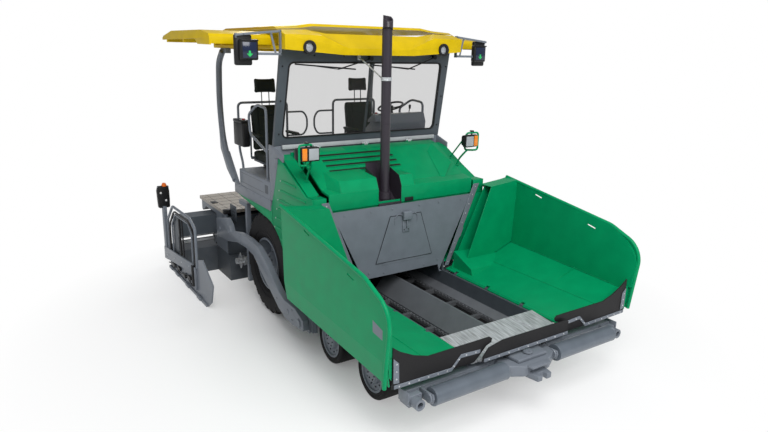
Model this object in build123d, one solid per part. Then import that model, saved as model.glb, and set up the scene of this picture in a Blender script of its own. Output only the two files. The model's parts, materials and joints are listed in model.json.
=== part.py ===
from build123d import *
import os


os.makedirs("parts", exist_ok=True)

# Wheeled asphalt paver with hopper, tow arms and extending screed.
# Millimetres, +Z up, forward is -Y and the machine's right side is -X.
# Lengths along Y are measured from the rear wheel axle and Z from the
# ground. REAR_AXLE_Y then moves the whole machine so that its outer box
# is centred on the origin.
REAR_AXLE_Y = 560

# ---------------------------------------------------------------- clearances
RUN_GAP = 10          # between pieces that move past each other
FIT = 0.4             # radial play of pins, shafts and slides
SEAT = 0.3            # gap of soft or curved pieces at their seats

# ---------------------------------------------------------------- wheels
REAR_TYRE_R = 685
REAR_TYRE_W = 375
REAR_OUT_X = 1256     # outer face of the rear tyres
REAR_RIM_R = 350
FRONT_TYRE_R = 272
FRONT_TYRE_W = 300
FRONT_OUT_X = 1200    # outer face of the front tyres
FRONT_RIM_R = 196
FRONT_AXLE_Y = -2540
SECOND_AXLE_Y = -1664
KINGPIN_X = 840
KINGPIN_R = 26

# ---------------------------------------------------------------- chassis
WALL_X = 645          # outer face of the frame side walls
WALL_T = 25
FRAME_BOTTOM = 330
FRAME_FRONT_Y = -2990
FRAME_REAR_Y = 1020
CONVEYOR_Z = 450      # working face of the conveyor floor
TUNNEL_TOP_Z = 800
DECK_Z = 1420         # underside of the deck over the rear wheels
DECK_T = 40
DECK_X = REAR_OUT_X - REAR_TYRE_W - 30     # half width of the deck
BOGIE_X = 700         # inner face of the bogie beams
BOGIE_T = 60

# ---------------------------------------------------------------- hopper
HINGE_X = 672
HINGE_Z = 690
HINGE_PIN_R = 12
HINGE_TUBE_R = 20
WING_REAR_Y = -1405
WING_FRONT_Y = -3430
WING_TOP_X = 1640
WING_PLATE = 12
WING_LEAN = 0.0197        # how far the wing's wall leans in per unit of depth
CHUTE_Y = -1395       # front face of the chute plate
CHUTE_T = 15
CHUTE_TOP_Z = 1671

# ---------------------------------------------------------------- screed
ARM_X = 1300          # inner face of the tow arms
ARM_T = 80
TOW_Y = -1250
TOW_Z = 360
TOW_PIN_R = 30
SCREED_X = 1275       # half of the basic screed's width
SCREED_FRONT_Y = 1360
MAIN_SOLE_REAR_Y = 1930
EXT_SOLE_REAR_Y = 2400
WALK_Z = 1030
WALK_T = 50
GATE_X = 1870         # inner face of the end gates
GATE_T = 40
GATE_REAR_Y = 2640
GATE_FRONT_Y = 300

TROUGH_Z = 405        # top of the conveyor trough's floor plate
TROUGH_T = 10
SLAT_PITCH = 450

# ---------------------------------------------------------------- body panels
PANEL_X = 1235        # inner face of the side covers and mudguards
PANEL_T = 15
ARCH_R = REAR_TYRE_R - 30          # wheel arch about the rear axle
HOUSE_R = REAR_TYRE_R + 20         # inside of the wheel house
LID_X = 1075
COWL_X = 1227          # outer face of the fixed cowl
COWL_RIM = ((-1215, 1846), (-612, 2165))    # (y, z) of the cowl's top edge beside the lid
LID_HINGE = (-452, 2262)           # (y, z) of the hood lid's hinges
LID_HINGE_X = (-700, 0, 700)
LAMP_IN_X = LID_X + 10             # inner side of the work lamps
EXHAUST_X = -200
EXHAUST_Y = -1213
EXHAUST_R = 58
WS_LOW = (-345, 2300)     # (y, z) of the windshield frame's middle plane
WS_HIGH = (-562, 3439)
GLASS_LOW_X = 1158
GLASS_TOP_X = 1122
GLASS_LOW_Z = 2395
GLASS_TOP_Z = 3300
GLASS_R = 70                       # corners of the windshield's opening
ROOF_X = 1262
ROOF_FRONT_Y = -780
ROOF_REAR_Y = 1650
ROOF_TOP_Z = 3735
BEAM_Z = 3440             # underside of the roof's side beams
BEAM_T = 38
RAIL_Z = 3500             # underside of the flap rails
RAIL_Y = (-330, 560, 1300)
FLAP_RAIL_IN = 790

# ---------------------------------------------------------------- hopper front
SILL_REAR_Y = -2930
SILL_REAR_Z = 704
SILL_FRONT_Y = -3415
SILL_FRONT_Z = 652
SILL_T = 15
NOSE_FRONT_Y = -3378               # front end of the side walls above the crossbar
CENTRE_APRON_Y = -3482
CROSSBAR_Y = -3230
CROSSBAR_PIN_R = 35
ROLLER_Y = -3544
ROLLER_Z = 545
ROLLER_R = 85
ROLLER_IN = 345
ROLLER_OUT = 1212
HINGE_LUG_Y = (-3360, -2780, -2200, -1620)
HINGE_LUG_W = 40

# ---------------------------------------------------------------- augers, extensions
AUGER_Y = 1190
AUGER_Z = 360
AUGER_R = 160
GUIDE_X = 1235            # outer face of the tow point guides
EXT_IN_X = 560
EXT_COVER_Y = (1900, 2200)
EXT_COVER_Z = (640, 930)
TUBE_R = 32
TUBE_Y = 2060
TUBE_Z = (505, 600)


# ---------------------------------------------------------------- helpers
def slab(x0, x1, y0, y1, z0, z1):
    """A plain block between two corners."""
    size = (abs(x1 - x0), abs(y1 - y0), abs(z1 - z0))
    return Pos((x0 + x1) / 2, (y0 + y1) / 2, (z0 + z1) / 2) * Box(*size)


def side_plate(points, x0, x1):
    """An outline of (y, z) points, solid from x0 to x1."""
    face = Plane.YZ.offset(x0) * make_face(Polyline(*points, close=True))
    return extrude(face, amount=x1 - x0)


def front_plate(points, y0, y1):
    """An outline of (x, z) points, solid from y0 to y1."""
    face = Plane.XZ.offset(-y0) * make_face(Polyline(*points, close=True))
    return extrude(face, amount=y0 - y1)


def top_plate(points, z0, z1):
    """An outline of (x, y) points, solid from z0 to z1."""
    face = Plane.XY.offset(z0) * make_face(Polyline(*points, close=True))
    return extrude(face, amount=z1 - z0)


def rod_x(radius, x0, x1, y, z):
    """A round bar along X."""
    bar = Rot(0, 90, 0) * Cylinder(radius, abs(x1 - x0))
    return Pos((x0 + x1) / 2, y, z) * bar


def rod_y(radius, x, y0, y1, z):
    """A round bar along Y."""
    bar = Rot(90, 0, 0) * Cylinder(radius, abs(y1 - y0))
    return Pos(x, (y0 + y1) / 2, z) * bar


def rod_z(radius, x, y, z0, z1):
    """A round bar along Z."""
    return Pos(x, y, (z0 + z1) / 2) * Cylinder(radius, abs(z1 - z0))


def turned_x(profile, x, y, z):
    """Turns a profile of (distance along X, radius) points about X."""
    face = make_face(Polyline(*[(along, radius) for along, radius in profile], close=True))
    return Pos(x, y, z) * revolve(face, Axis.X)


def pipe(points, radius, bend):
    """A round bar bent along straight runs joined by arcs."""
    path = FilletPolyline(*points, radius=bend) if len(points) > 2 else Line(*points)
    return sweep(Plane(origin=path @ 0, z_dir=path % 0) * Circle(radius), path=path)


def other_side(shape):
    """The same piece on the other side of the machine."""
    return mirror(shape, about=Plane.YZ)


def fused(pieces):
    """All pieces welded into one solid."""
    whole = pieces[0]
    for piece in pieces[1:]:
        whole += piece
    return whole


def write(name, *solids):
    """Writes one sub-part, shifted from the axle to the machine's centre."""
    placed = [Pos(0, REAR_AXLE_Y, 0) * solid for solid in solids]
    shape = placed[0] if len(placed) == 1 else Compound(children=placed)
    export_step(shape, "parts/" + name + ".step")


# ---------------------------------------------------------------- wheels
def rear_tyre():
    """Rear tyre on the machine's left side, closed ring with round shoulders."""
    w = REAR_TYRE_W / 2
    r = REAR_TYRE_R
    profile = [(-w + 30, REAR_RIM_R), (w - 30, REAR_RIM_R), (w, REAR_RIM_R + 90),
               (w, r - 150), (w - 25, r - 45), (w - 70, r),
               (-w + 70, r), (-w + 25, r - 45), (-w, r - 150), (-w, REAR_RIM_R + 90)]
    return turned_x(profile, REAR_OUT_X - w, 0, REAR_TYRE_R)


def rear_rim():
    """Deep dished rear rim with its planetary hub cap."""
    w = REAR_TYRE_W / 2
    lip = REAR_RIM_R - SEAT
    profile = [(-w + 30, lip), (w - 20, lip), (w - 20, lip - 24), (w - 70, lip - 40),
               (-10, lip - 55), (-40, lip - 120), (-40, 190), (-20, 175), (95, 150),
               (125, 120), (125, 0), (-75, 0), (-75, lip - 30), (-w + 30, lip - 24)]
    return turned_x(profile, REAR_OUT_X - w, 0, REAR_TYRE_R)


def front_tyre(y):
    """Solid rubber front tyre on the left side."""
    w = FRONT_TYRE_W / 2
    r = FRONT_TYRE_R
    profile = [(-w + 8, FRONT_RIM_R), (w - 8, FRONT_RIM_R), (w, FRONT_RIM_R + 14),
               (w, r - 22), (w - 22, r), (-w + 22, r), (-w, r - 22), (-w, FRONT_RIM_R + 14)]
    return turned_x(profile, FRONT_OUT_X - w, y, FRONT_TYRE_R)


def front_rim(y):
    """Disc wheel inside the solid tyre, open towards the kingpin."""
    w = FRONT_TYRE_W / 2
    r = FRONT_RIM_R - SEAT
    hub = 92
    profile = [(-w + 12, r), (w - 8, r), (w - 8, r - 22), (w - 26, r - 30), (w - 42, hub + 16),
               (w - 16, hub), (w - 2, hub - 14), (w - 2, 0), (w - 60, 0), (w - 60, hub),
               (w - 66, r - 34), (-w + 12, r - 18)]
    return turned_x(profile, FRONT_OUT_X - w, y, FRONT_TYRE_R)


def knuckle(y):
    """Steering knuckle: upright on the kingpin with the stub axle."""
    z = FRONT_TYRE_R
    upright = slab(KINGPIN_X - 34, KINGPIN_X + 34, y - 42, y + 42, z - 58, z + 58)
    flange = slab(KINGPIN_X + 34, KINGPIN_X + 48, y - 60, y + 60, z - 56, z + 56)
    stub = rod_x(46, KINGPIN_X + 40, FRONT_OUT_X - 60 - SEAT, y, z)
    steering_arm = slab(KINGPIN_X - 58, KINGPIN_X - 30, y + 10, y + 40, z - 14, z + 14)
    bore = rod_z(KINGPIN_R + FIT, KINGPIN_X, y, z - 90, z + 90)
    return fused([upright, flange, stub, steering_arm]) - bore


def bogie():
    """Rocker beam of the two front wheels on one side, with its yokes and kingpins."""
    mid_y = (FRONT_AXLE_Y + SECOND_AXLE_Y) / 2
    z = FRONT_TYRE_R
    x0, x1 = BOGIE_X, BOGIE_X + BOGIE_T
    outline = [(FRONT_AXLE_Y - 60, z - 95), (FRONT_AXLE_Y - 60, z + 95), (mid_y - 160, z + 95),
               (mid_y, z + 190), (mid_y + 160, z + 95), (SECOND_AXLE_Y + 60, z + 95),
               (SECOND_AXLE_Y + 60, z - 95), (mid_y + 250, z - 60), (mid_y - 250, z - 60)]
    pieces = [side_plate(outline, x0, x1),
              rod_x(70, WALL_X + SEAT, x0, mid_y, z + 110)]
    for y in (FRONT_AXLE_Y, SECOND_AXLE_Y):
        for low, high in ((z - 95, z - 60), (z + 60, z + 95)):
            pieces.append(slab(x1, KINGPIN_X, y - 50, y + 50, low, high))
            pieces.append(rod_z(50, KINGPIN_X, y, low, high))
        pieces.append(rod_z(KINGPIN_R, KINGPIN_X, y, z - 110, z + 110))
    return fused(pieces)


def rear_drive():
    """Drive housing that carries one rear wheel on the frame wall."""
    z = REAR_TYRE_R
    end = REAR_OUT_X - REAR_TYRE_W / 2 - 75 - SEAT
    flange = rod_x(250, WALL_X, WALL_X + 40, 0, z)
    body = rod_x(185, WALL_X + 40, end, 0, z)
    return flange + body


# ---------------------------------------------------------------- chassis
def chassis_frame():
    """Side walls, cross members, deck and the hinge pins of the hopper wings."""
    inner = WALL_X - WALL_T
    floor_under = TROUGH_Z - TROUGH_T
    chute_back = CHUTE_Y + CHUTE_T + SEAT
    outline = [(NOSE_FRONT_Y, 606), (NOSE_FRONT_Y, SILL_FRONT_Z - SILL_T - 1),
               (SILL_REAR_Y, SILL_REAR_Z - SILL_T - 1), (chute_back, SILL_REAR_Z - SILL_T - 1),
               (chute_back, DECK_Z), (FRAME_REAR_Y, DECK_Z), (FRAME_REAR_Y, 520),
               (760, FRAME_BOTTOM), (-2850, FRAME_BOTTOM), (FRAME_FRONT_Y, 420),
               (FRAME_FRONT_Y, 606)]
    wall = side_plate(outline, inner, WALL_X)
    pin = rod_y(HINGE_PIN_R, HINGE_X, HINGE_LUG_Y[0], HINGE_LUG_Y[-1] + HINGE_LUG_W, HINGE_Z)
    lugs = []
    for y in HINGE_LUG_Y:
        lugs.append(slab(WALL_X, HINGE_X + 12, y, y + HINGE_LUG_W, 607, HINGE_Z))
        lugs.append(rod_y(HINGE_TUBE_R, HINGE_X, y, y + HINGE_LUG_W, HINGE_Z))
    side = fused([wall] + lugs + [pin])
    beams = [slab(-inner, inner, FRAME_FRONT_Y, FRAME_FRONT_Y + 60, 420, 560),
             slab(-inner, inner, -2160, -2040, FRAME_BOTTOM, floor_under),
             slab(-inner, inner, -1340, -1240, FRAME_BOTTOM, floor_under),
             slab(-inner, inner, -60, 60, FRAME_BOTTOM, floor_under),
             slab(-inner, inner, 640, 740, FRAME_BOTTOM, floor_under),
             slab(-inner, inner, -1335, FRAME_REAR_Y, TUNNEL_TOP_Z, TUNNEL_TOP_Z + 12),
             slab(-DECK_X, DECK_X, -330, FRAME_REAR_Y, DECK_Z, DECK_Z + DECK_T)]
    plates = [slab(-160, 160, -3330, FRAME_FRONT_Y, 430, 452),
              slab(-160, 160, -3330, FRAME_FRONT_Y, 598, 618),
              slab(-160, 160, FRAME_FRONT_Y - 20, FRAME_FRONT_Y, 430, 618),
              rod_z(CROSSBAR_PIN_R, 0, CROSSBAR_Y, 430, 618)]
    return fused([side, other_side(side)] + beams + plates)


def engine_block():
    """Diesel engine as one plain block above the tunnel, on its feet."""
    block = slab(-330, 330, -1150, -490, 960, 1640)
    feet = [slab(x - 60, x + 60, y - 40, y + 40, TUNNEL_TOP_Z + 12, 960)
            for x in (-260, 260) for y in (-1080, -560)]
    return fused([block] + feet)


def conveyor_trough():
    """Floor, roof-shaped centre guard and side deflectors of the conveyors."""
    inner = WALL_X - WALL_T - SEAT
    y0, y1 = SILL_REAR_Y + 5, FRAME_REAR_Y
    floor = slab(-inner, inner, y0, y1, TROUGH_Z - TROUGH_T, TROUGH_Z)
    guard = [(-175, TROUGH_Z), (175, TROUGH_Z), (175, CONVEYOR_Z + 5), (12, 672), (-12, 672),
             (-175, CONVEYOR_Z + 5)]
    deflector = [(inner, TROUGH_Z), (515, TROUGH_Z), (515, CONVEYOR_Z), (inner, 510)]
    side = front_plate(deflector, y0, y1)
    return fused([floor, front_plate(guard, y0, -1000), side, other_side(side)])


def conveyor(sign):
    """One scraper conveyor: two chains with cross slats, on the trough's floor."""
    x_in, x_out = 190, 505
    z = CONVEYOR_Z
    low = TROUGH_Z
    pieces = []
    for x in (x_in, x_out - 30):
        pieces.append(slab(x, x + 30, -2860, 960, low, z - 12))
    for i in range(8):
        y = -2760 + i * SLAT_PITCH
        pieces.append(slab(x_in, x_out, y, y + 50, low, z))
    whole = fused(pieces)
    return whole if sign > 0 else other_side(whole)


def chute_plate():
    """Grey plate between hopper and hood, with the tunnel mouth below it."""
    half_top, half_low = 1020, 560
    outline = [(-half_top, CHUTE_TOP_Z), (half_top, CHUTE_TOP_Z), (half_low, 720),
               (WALL_X - WALL_T - 20, 690), (WALL_X - WALL_T - 60, 690), (530, 790),
               (-530, 790), (-WALL_X + WALL_T + 60, 690), (-WALL_X + WALL_T + 20, 690),
               (-half_low, 720)]
    plate = front_plate(outline, CHUTE_Y, CHUTE_Y + CHUTE_T)
    hatch = front_plate([(-150, 1500), (150, 1500), (330, 930), (-330, 930)],
                        CHUTE_Y - 4, CHUTE_Y)
    latch = slab(-45, 45, CHUTE_Y - 5, CHUTE_Y, 1380, 1520)
    return fused([plate, hatch, latch])


def front_sill():
    """Bright sill that closes the conveyor trough at the front."""
    half = WALL_X - SEAT
    outline = [(SILL_REAR_Y, SILL_REAR_Z), (SILL_FRONT_Y, SILL_FRONT_Z),
               (SILL_FRONT_Y, SILL_FRONT_Z - SILL_T), (SILL_REAR_Y, SILL_REAR_Z - SILL_T)]
    plate = side_plate(outline, -half, half)
    rib_outline = [(SILL_REAR_Y - 20, SILL_REAR_Z - 12), (SILL_FRONT_Y + 45, SILL_FRONT_Z - 12),
                   (SILL_FRONT_Y + 45, 622), (SILL_REAR_Y - 20, 655)]
    ribs = [side_plate(rib_outline, x - 8, x + 8) for x in (-560, -200, 200, 560)]
    lip = slab(-555, 555, SILL_FRONT_Y - 12, SILL_FRONT_Y, SILL_FRONT_Z - SILL_T, SILL_FRONT_Z)
    hanger = slab(-615, 615, SILL_REAR_Y - 12, SILL_REAR_Y, 560 + SEAT, SILL_REAR_Z - 10)
    return fused([plate, lip, hanger] + ribs)


def centre_apron():
    """Middle rubber sheet of the hopper front."""
    y, t = CENTRE_APRON_Y, 12
    low = SILL_FRONT_Z - SILL_T + 2
    outline = [(-566, 662), (596, 662), (596, 800), (560, 825), (-320, 832), (-500, 795),
               (-566, 720)]
    sheet = front_plate(outline, y, y + t)
    stays = [slab(x - 25, x + 25, y + t, SILL_FRONT_Y - t - SEAT, low, SILL_FRONT_Z - 2)
             for x in (-250, 250)]
    hems = [slab(x - 25, x + 25, y, y + t, low, 664) for x in (-250, 250)]
    return fused([sheet] + stays + hems)


# ---------------------------------------------------------------- hopper wings
def wing_section(y, fold_z):
    """Cross outline of a wing: floor, sloped fillet, side wall and lower skirt."""
    t = WING_PLATE
    x0 = HINGE_X - 8
    top_z = 1900
    skirt_z = fold_z - 213
    fold_x = WING_TOP_X - (top_z - fold_z) * WING_LEAN
    points = [(x0, 713), (1165, 822), (fold_x - t - 4, fold_z + 8), (WING_TOP_X - t, top_z),
              (WING_TOP_X, top_z), (fold_x, fold_z), (fold_x - 30, skirt_z),
              (fold_x - 44, skirt_z), (fold_x - 18, fold_z - 22), (1168, 822 - t), (x0, 713 - t)]
    return Plane.XZ.offset(-y) * make_face(Polyline(*points, close=True))


def wing():
    """Left hopper wing with back plate, edge tube, ribs and hinge sleeves."""
    rear, front = WING_REAR_Y, WING_FRONT_Y
    rear_fold, front_fold = 985, 908
    shell = loft([wing_section(rear, rear_fold), wing_section(front, front_fold)], ruled=True)
    silhouette = side_plate([(rear, 600), (rear, 1842), (-3105, 1592), (-3330, 1480),
                             (-3470, 1330), (-3500, 1220), (front, 690), (front, 600)],
                            600, 1700)
    wall_front = extrude(wing_section(front, front_fold), amount=front + 3500)
    wall_front = wall_front & slab(1600, 1700, -3510, front + 1, 960, 1500)
    shell = (shell + wall_front) & silhouette
    back_y = rear - 55
    back = front_plate([(700, 722), (1165, 815), (1608, 985), (1634, 1836), (1195, 1765),
                        (712, 760)], back_y - WING_PLATE, back_y)
    flange = front_plate([(1200, 1754), (1634, 1824), (1634, 1836), (1198, 1766)],
                         back_y, rear)
    corner = side_plate([(back_y, 700), (back_y, 950), (back_y - 345, 805),
                         (back_y - 380, 700)], 740, 1615)
    inside = front_plate([(740, 726), (1166, 818), (1615, 990), (1615, 1200), (740, 1200)],
                         back_y - 400, back_y)
    ribs = [front_plate([(HINGE_X + 24, 706), (1166, 815), (1604, 960), (1584, 780),
                         (1540, 720), (1200, 690), (HINGE_X + 24, 672)], y, y + 12)
            for y in (rear - 40, -2080, -2700, front)]
    sleeves = []
    for y0, y1 in zip(HINGE_LUG_Y[:-1], HINGE_LUG_Y[1:]):
        sleeves.append(rod_y(HINGE_TUBE_R, HINGE_X, y0 + HINGE_LUG_W + 6, y1 - 6, HINGE_Z))
    bore = rod_y(HINGE_PIN_R + FIT, HINGE_X, front, rear, HINGE_Z)
    edge = pipe([(1641, rear, 1842), (1641, -3105, 1592), (1641, -3520, 1420),
                 (1641, front - 10, 700)], 20, [300, 260])
    whole = fused([shell, back, flange, corner & inside] + ribs + sleeves + [edge])
    for y in HINGE_LUG_Y:
        whole = whole - slab(HINGE_X - 30, HINGE_X + 28, y - 8, y + HINGE_LUG_W + 8, 640, 730)
    for y, z in ((-2005, 1694), (-2854, 1509)):
        slot = side_plate([(y + 55, z + 24), (y + 60, z + 6), (y - 55, z - 20), (y - 60, z - 2)],
                          1600, 1700)
        whole = whole - slot
    return whole - bore


def wing_apron():
    """Rubber sheet on the front of the left wing, with its stepped clamping bar."""
    rubber = [(500, 800), (600, 700), (640, 668), (1560, 668), (1560, 1060), (1480, 1000),
              (1330, 925), (1180, 880), (460, 880), (430, 860), (440, 820)]
    return front_plate(rubber, WING_FRONT_Y - 12 - SEAT, WING_FRONT_Y - SEAT)


# ---------------------------------------------------------------- crossbar


def crossbar():
    """Swivelling crossbar with roller brackets, tow hook and end eyes."""
    beam = slab(-1420, 1420, -3400, -3310, 470, 580)
    nose = top_plate([(-330, -3400), (330, -3400), (310, -3560), (170, -3640), (-170, -3640),
                      (-310, -3560)], 470, 585)
    hump = top_plate([(-215, -3400), (215, -3400), (190, -3580), (-190, -3580)], 585, 622)
    boss = rod_z(70, 0, -3500, 622, 632)
    jaw = top_plate([(-150, -3620), (150, -3620), (120, -3700), (-120, -3700)], 560, 584)
    hook = top_plate([(-120, -3600), (120, -3600), (90, -3745), (-90, -3745)], 440, 500)
    hook = hook - rod_z(26, 0, -3700, 430, 510)
    brackets = []
    for x in (ROLLER_IN - 24, ROLLER_OUT + 4):
        bracket = side_plate([(-3400, 475), (-3400, 575), (ROLLER_Y - 45, 588),
                              (ROLLER_Y - 60, 550), (ROLLER_Y - 45, 500)], x, x + 20)
        brackets += [bracket, other_side(bracket)]
    end = slab(1290, 1500, -3470, -3330, 450, 560) + rod_y(52, 1440, -3560, -3460, 505)
    cheek = side_plate([(-3480, 480), (-3480, 600), (-3330, 600), (-3330, 480)], 1500, 1516)
    foot = slab(1240, 1330, -3400, -3310, 440, 472)
    pivot = rod_z(75, 0, CROSSBAR_Y, 460, 590) + slab(-75, 75, -3330, CROSSBAR_Y, 460, 590)
    whole = fused([beam, nose, hump, boss, jaw, hook, pivot] + brackets
                  + [end, other_side(end), cheek, other_side(cheek), foot, other_side(foot)])
    whole = whole - rod_z(CROSSBAR_PIN_R + FIT, 0, CROSSBAR_Y, 400, 650)
    whole = whole - rod_y(30, 1440, -3570, -3500, 505) - rod_y(30, -1440, -3570, -3500, 505)
    stub = rod_x(20 + FIT, ROLLER_IN - 30, ROLLER_OUT + 30, ROLLER_Y, ROLLER_Z)
    return whole - stub - other_side(stub)


def push_roller():
    """Left push roller with its stub shafts."""
    drum = rod_x(ROLLER_R, ROLLER_IN + 2, ROLLER_OUT - 2, ROLLER_Y, ROLLER_Z)
    return drum + rod_x(20, ROLLER_IN - 22, ROLLER_OUT + 22, ROLLER_Y, ROLLER_Z)


# ---------------------------------------------------------------- body panels


def side_cover():
    """Left green side cover in front of the rear wheel, with its louvre ribs."""
    outline = [(-1375, 800), (-1375, 1845), (-1208, 1845), (-612, 2128), (-452, 1550),
               (-374, 1300), (-400, 1000), (-640, 800)]
    panel = side_plate(outline, PANEL_X, PANEL_X + PANEL_T)
    front = front_plate([(PANEL_X + PANEL_T, 800), (PANEL_X + PANEL_T, 1672), (1035, 1672),
                         (700, 800)], -1375, -1360)
    bottom = slab(WALL_X + SEAT, PANEL_X, -1375, -HOUSE_R, 800, 812)
    pieces = [panel, front, bottom]
    for i in range(11):
        z = 1010 + i * 88
        end = -560 + (z - 1550) * -0.28 if z > 1550 else -560 + (z - 1550) * 0.1
        front_end = -1210 if z < 1820 else -1100
        pieces.append(side_plate([(front_end, z), (end - 40, z), (end - 20, z + 15),
                                  (end - 40, z + 30), (front_end, z + 30)],
                                 PANEL_X + PANEL_T, PANEL_X + PANEL_T + 9))
    return fused(pieces) - rod_x(ARCH_R, PANEL_X - 35, PANEL_X + 65, 0, REAR_TYRE_R)


def mudguard():
    """Left green band over the rear wheel with the wheel house inside."""
    outline = [(990, 1457), (990, 1530), (-443, 1530), (-371, 1300), (-390, 1000), (100, 1000)]
    band = side_plate(outline, PANEL_X, PANEL_X + PANEL_T)
    band = band - rod_x(ARCH_R, PANEL_X - 35, PANEL_X + 65, 0, REAR_TYRE_R)
    band = band - side_plate([(0, 900), (0, REAR_TYRE_R + ARCH_R), (990, 1457), (1100, 900)],
                             PANEL_X - 5, PANEL_X + PANEL_T + 5)
    house = rod_x(HOUSE_R + 12, WALL_X + SEAT, PANEL_X, 0, REAR_TYRE_R)
    house = house - rod_x(HOUSE_R, WALL_X - 5, PANEL_X + 5, 0, REAR_TYRE_R)
    house = house & slab(600, 1300, -HOUSE_R - 100, -140, 813, 1500)
    return band + house


def nose_cowl():
    """Green fixed cowl under the hood lid, open at the top, with the lid's hinge eyes."""
    (y0, z0), (y1, z1) = COWL_RIM
    hinge_y, hinge_z = LID_HINGE
    side = side_plate([(-1375, 1700), (-1375, 1828), (-1212, 1828), (-615, 2150), (-445, 2190),
                       (-445, 1470), (-700, 1470), (-1200, 1600)], 1195, COWL_X)
    rim = side_plate([(-1365, z0), (y0, z0), (y1, z1), (-445, 2205), (-445, 2190),
                      (-610, 2148), (-1212, 1820), (-1365, 1820)], 1085, COWL_X)
    front = slab(-1195, 1195, -1358, -1345, 1672, 1720)
    rear = slab(-1195, 1195, -465, -445, 1470, 2150)
    sill = slab(-LID_X, LID_X, -465, -445, 2150, 2227 - SEAT)
    shelf = slab(-1195, 1195, -1358, -445, 1655, 1670)
    stand = slab(630, 650, -1335, -445, DECK_Z + SEAT, 1655)
    eyes = []
    for x in LID_HINGE_X:
        for side_x in (x - 46, x + 26):
            eyes.append(side_plate([(-465, 2200), (hinge_y + 8, hinge_z + 16),
                                    (hinge_y + 26, hinge_z + 6), (-445, 2200)],
                                   side_x, side_x + 20))
    pins = [rod_x(7, x - 40, x + 40, hinge_y, hinge_z) for x in LID_HINGE_X]
    return fused([side, other_side(side), rim, other_side(rim), front, rear, sill, shelf, stand,
                  other_side(stand)] + eyes + pins)


def hood_lid():
    """Engine hood lid with raised blocks, louvre slots and the pipe's notch."""
    hinge_y, hinge_z = LID_HINGE
    section = [(-1378, 1690), (-1378, 1880), (-1200, 1905), (-620, 2225), (-475, 2257),
               (-475, 2227), (-615, 2195), (-1205, 1872), (-1365, 1850), (-1365, 1690)]
    lid = side_plate(section, -LID_X, LID_X)
    raised = side_plate([(-1378, 1880), (-1378, 1900), (-1318, 2018), (-900, 2160),
                         (-620, 2225), (-1200, 1905)], -1040, 1040)
    ends = front_plate([(-1040, 1860), (-1036, 1895), (-905, 2030), (-905, 2400), (905, 2400),
                        (905, 2030), (1036, 1895), (1040, 1860)], -1400, -500)
    lid = lid + (raised & ends)
    lid = lid - slab(-385, -60, -1400, -1060, 1650, 2200)
    for i in range(4):
        y = -880 + i * 80
        lid = lid - slab(-800, 250, y, y + 34, 1900, 2400)
    for x in LID_HINGE_X:
        barrel = rod_x(14, x - 24, x + 24, hinge_y, hinge_z)
        arm = side_plate([(-520, 2238), (-476, 2256), (hinge_y, hinge_z + 12),
                          (hinge_y, hinge_z - 12), (-478, 2229), (-520, 2224)], x - 24, x + 24)
        lid = fused([lid, barrel, arm]) - rod_x(7 + FIT, x - 30, x + 30, hinge_y, hinge_z)
    return lid


def exhaust():
    """Upright exhaust pipe with its slanted mouth and foot."""
    x, y = EXHAUST_X, EXHAUST_Y
    pipe_body = rod_z(EXHAUST_R, x, y, 1670 + SEAT, 3700)
    tip = Pos(x, y - 12, 3760) * (Rot(-18, 12, 0) * Cylinder(EXHAUST_R, 170))
    cut = Pos(x, y, 3900) * (Rot(32, 0, 0) * Box(400, 600, 170))
    foot = rod_z(EXHAUST_R + 22, x, y, 1670 + SEAT, 1760)
    whole = fused([pipe_body, tip, foot]) - cut
    return whole - rod_z(EXHAUST_R - 8, x, y, 3600, 3950)


# ---------------------------------------------------------------- platform
def platform():
    """Operator platform: floor, step boxes and the grey side panels."""
    floor = slab(-1262, 1262, -425, 1045, 1545, 1575)
    sill = slab(PANEL_X, 1262, -425, 1045, 1540, 1600)
    box = slab(905, 1255, -270, 850, 1575, 1830)
    panel = side_plate([(-270, 1600), (-190, 2299), (-380, 2299), (-608, 2225), (-447, 1600)],
                       1228, 1250)
    scuttle = slab(-1228, 1228, -372, -350, 1575, WS_LOW[1] - SEAT)
    legs = [slab(DECK_X - 90, DECK_X - 10, y - 60, y + 60, DECK_Z + DECK_T, 1545)
            for y in (-200, 300, 900)]
    side = fused([sill, box, panel] + legs)
    return fused([floor, side, other_side(side), scuttle])


def windshield_frame():
    """Dark frame of the raked windshield."""
    low, high = WS_LOW, WS_HIGH
    outer = [(-1257, low[1]), (1257, low[1]), (1232, high[1]), (-1232, high[1])]
    band = side_plate([(low[0] - 25, low[1]), (low[0] + 25, low[1]),
                       (high[0] + 25, high[1]), (high[0] - 25, high[1])], -1260, 1260)
    return (band & front_plate(outer, -800, 0)) - glass_block(0)


def windshield_glass():
    """Pane of the windshield, seated in the frame's opening."""
    low, high = WS_LOW, WS_HIGH
    pane = side_plate([(low[0] - 5, low[1]), (low[0] + 5, low[1]),
                       (high[0] + 5, high[1]), (high[0] - 5, high[1])], -1260, 1260)
    return pane & glass_block(SEAT)


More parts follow.
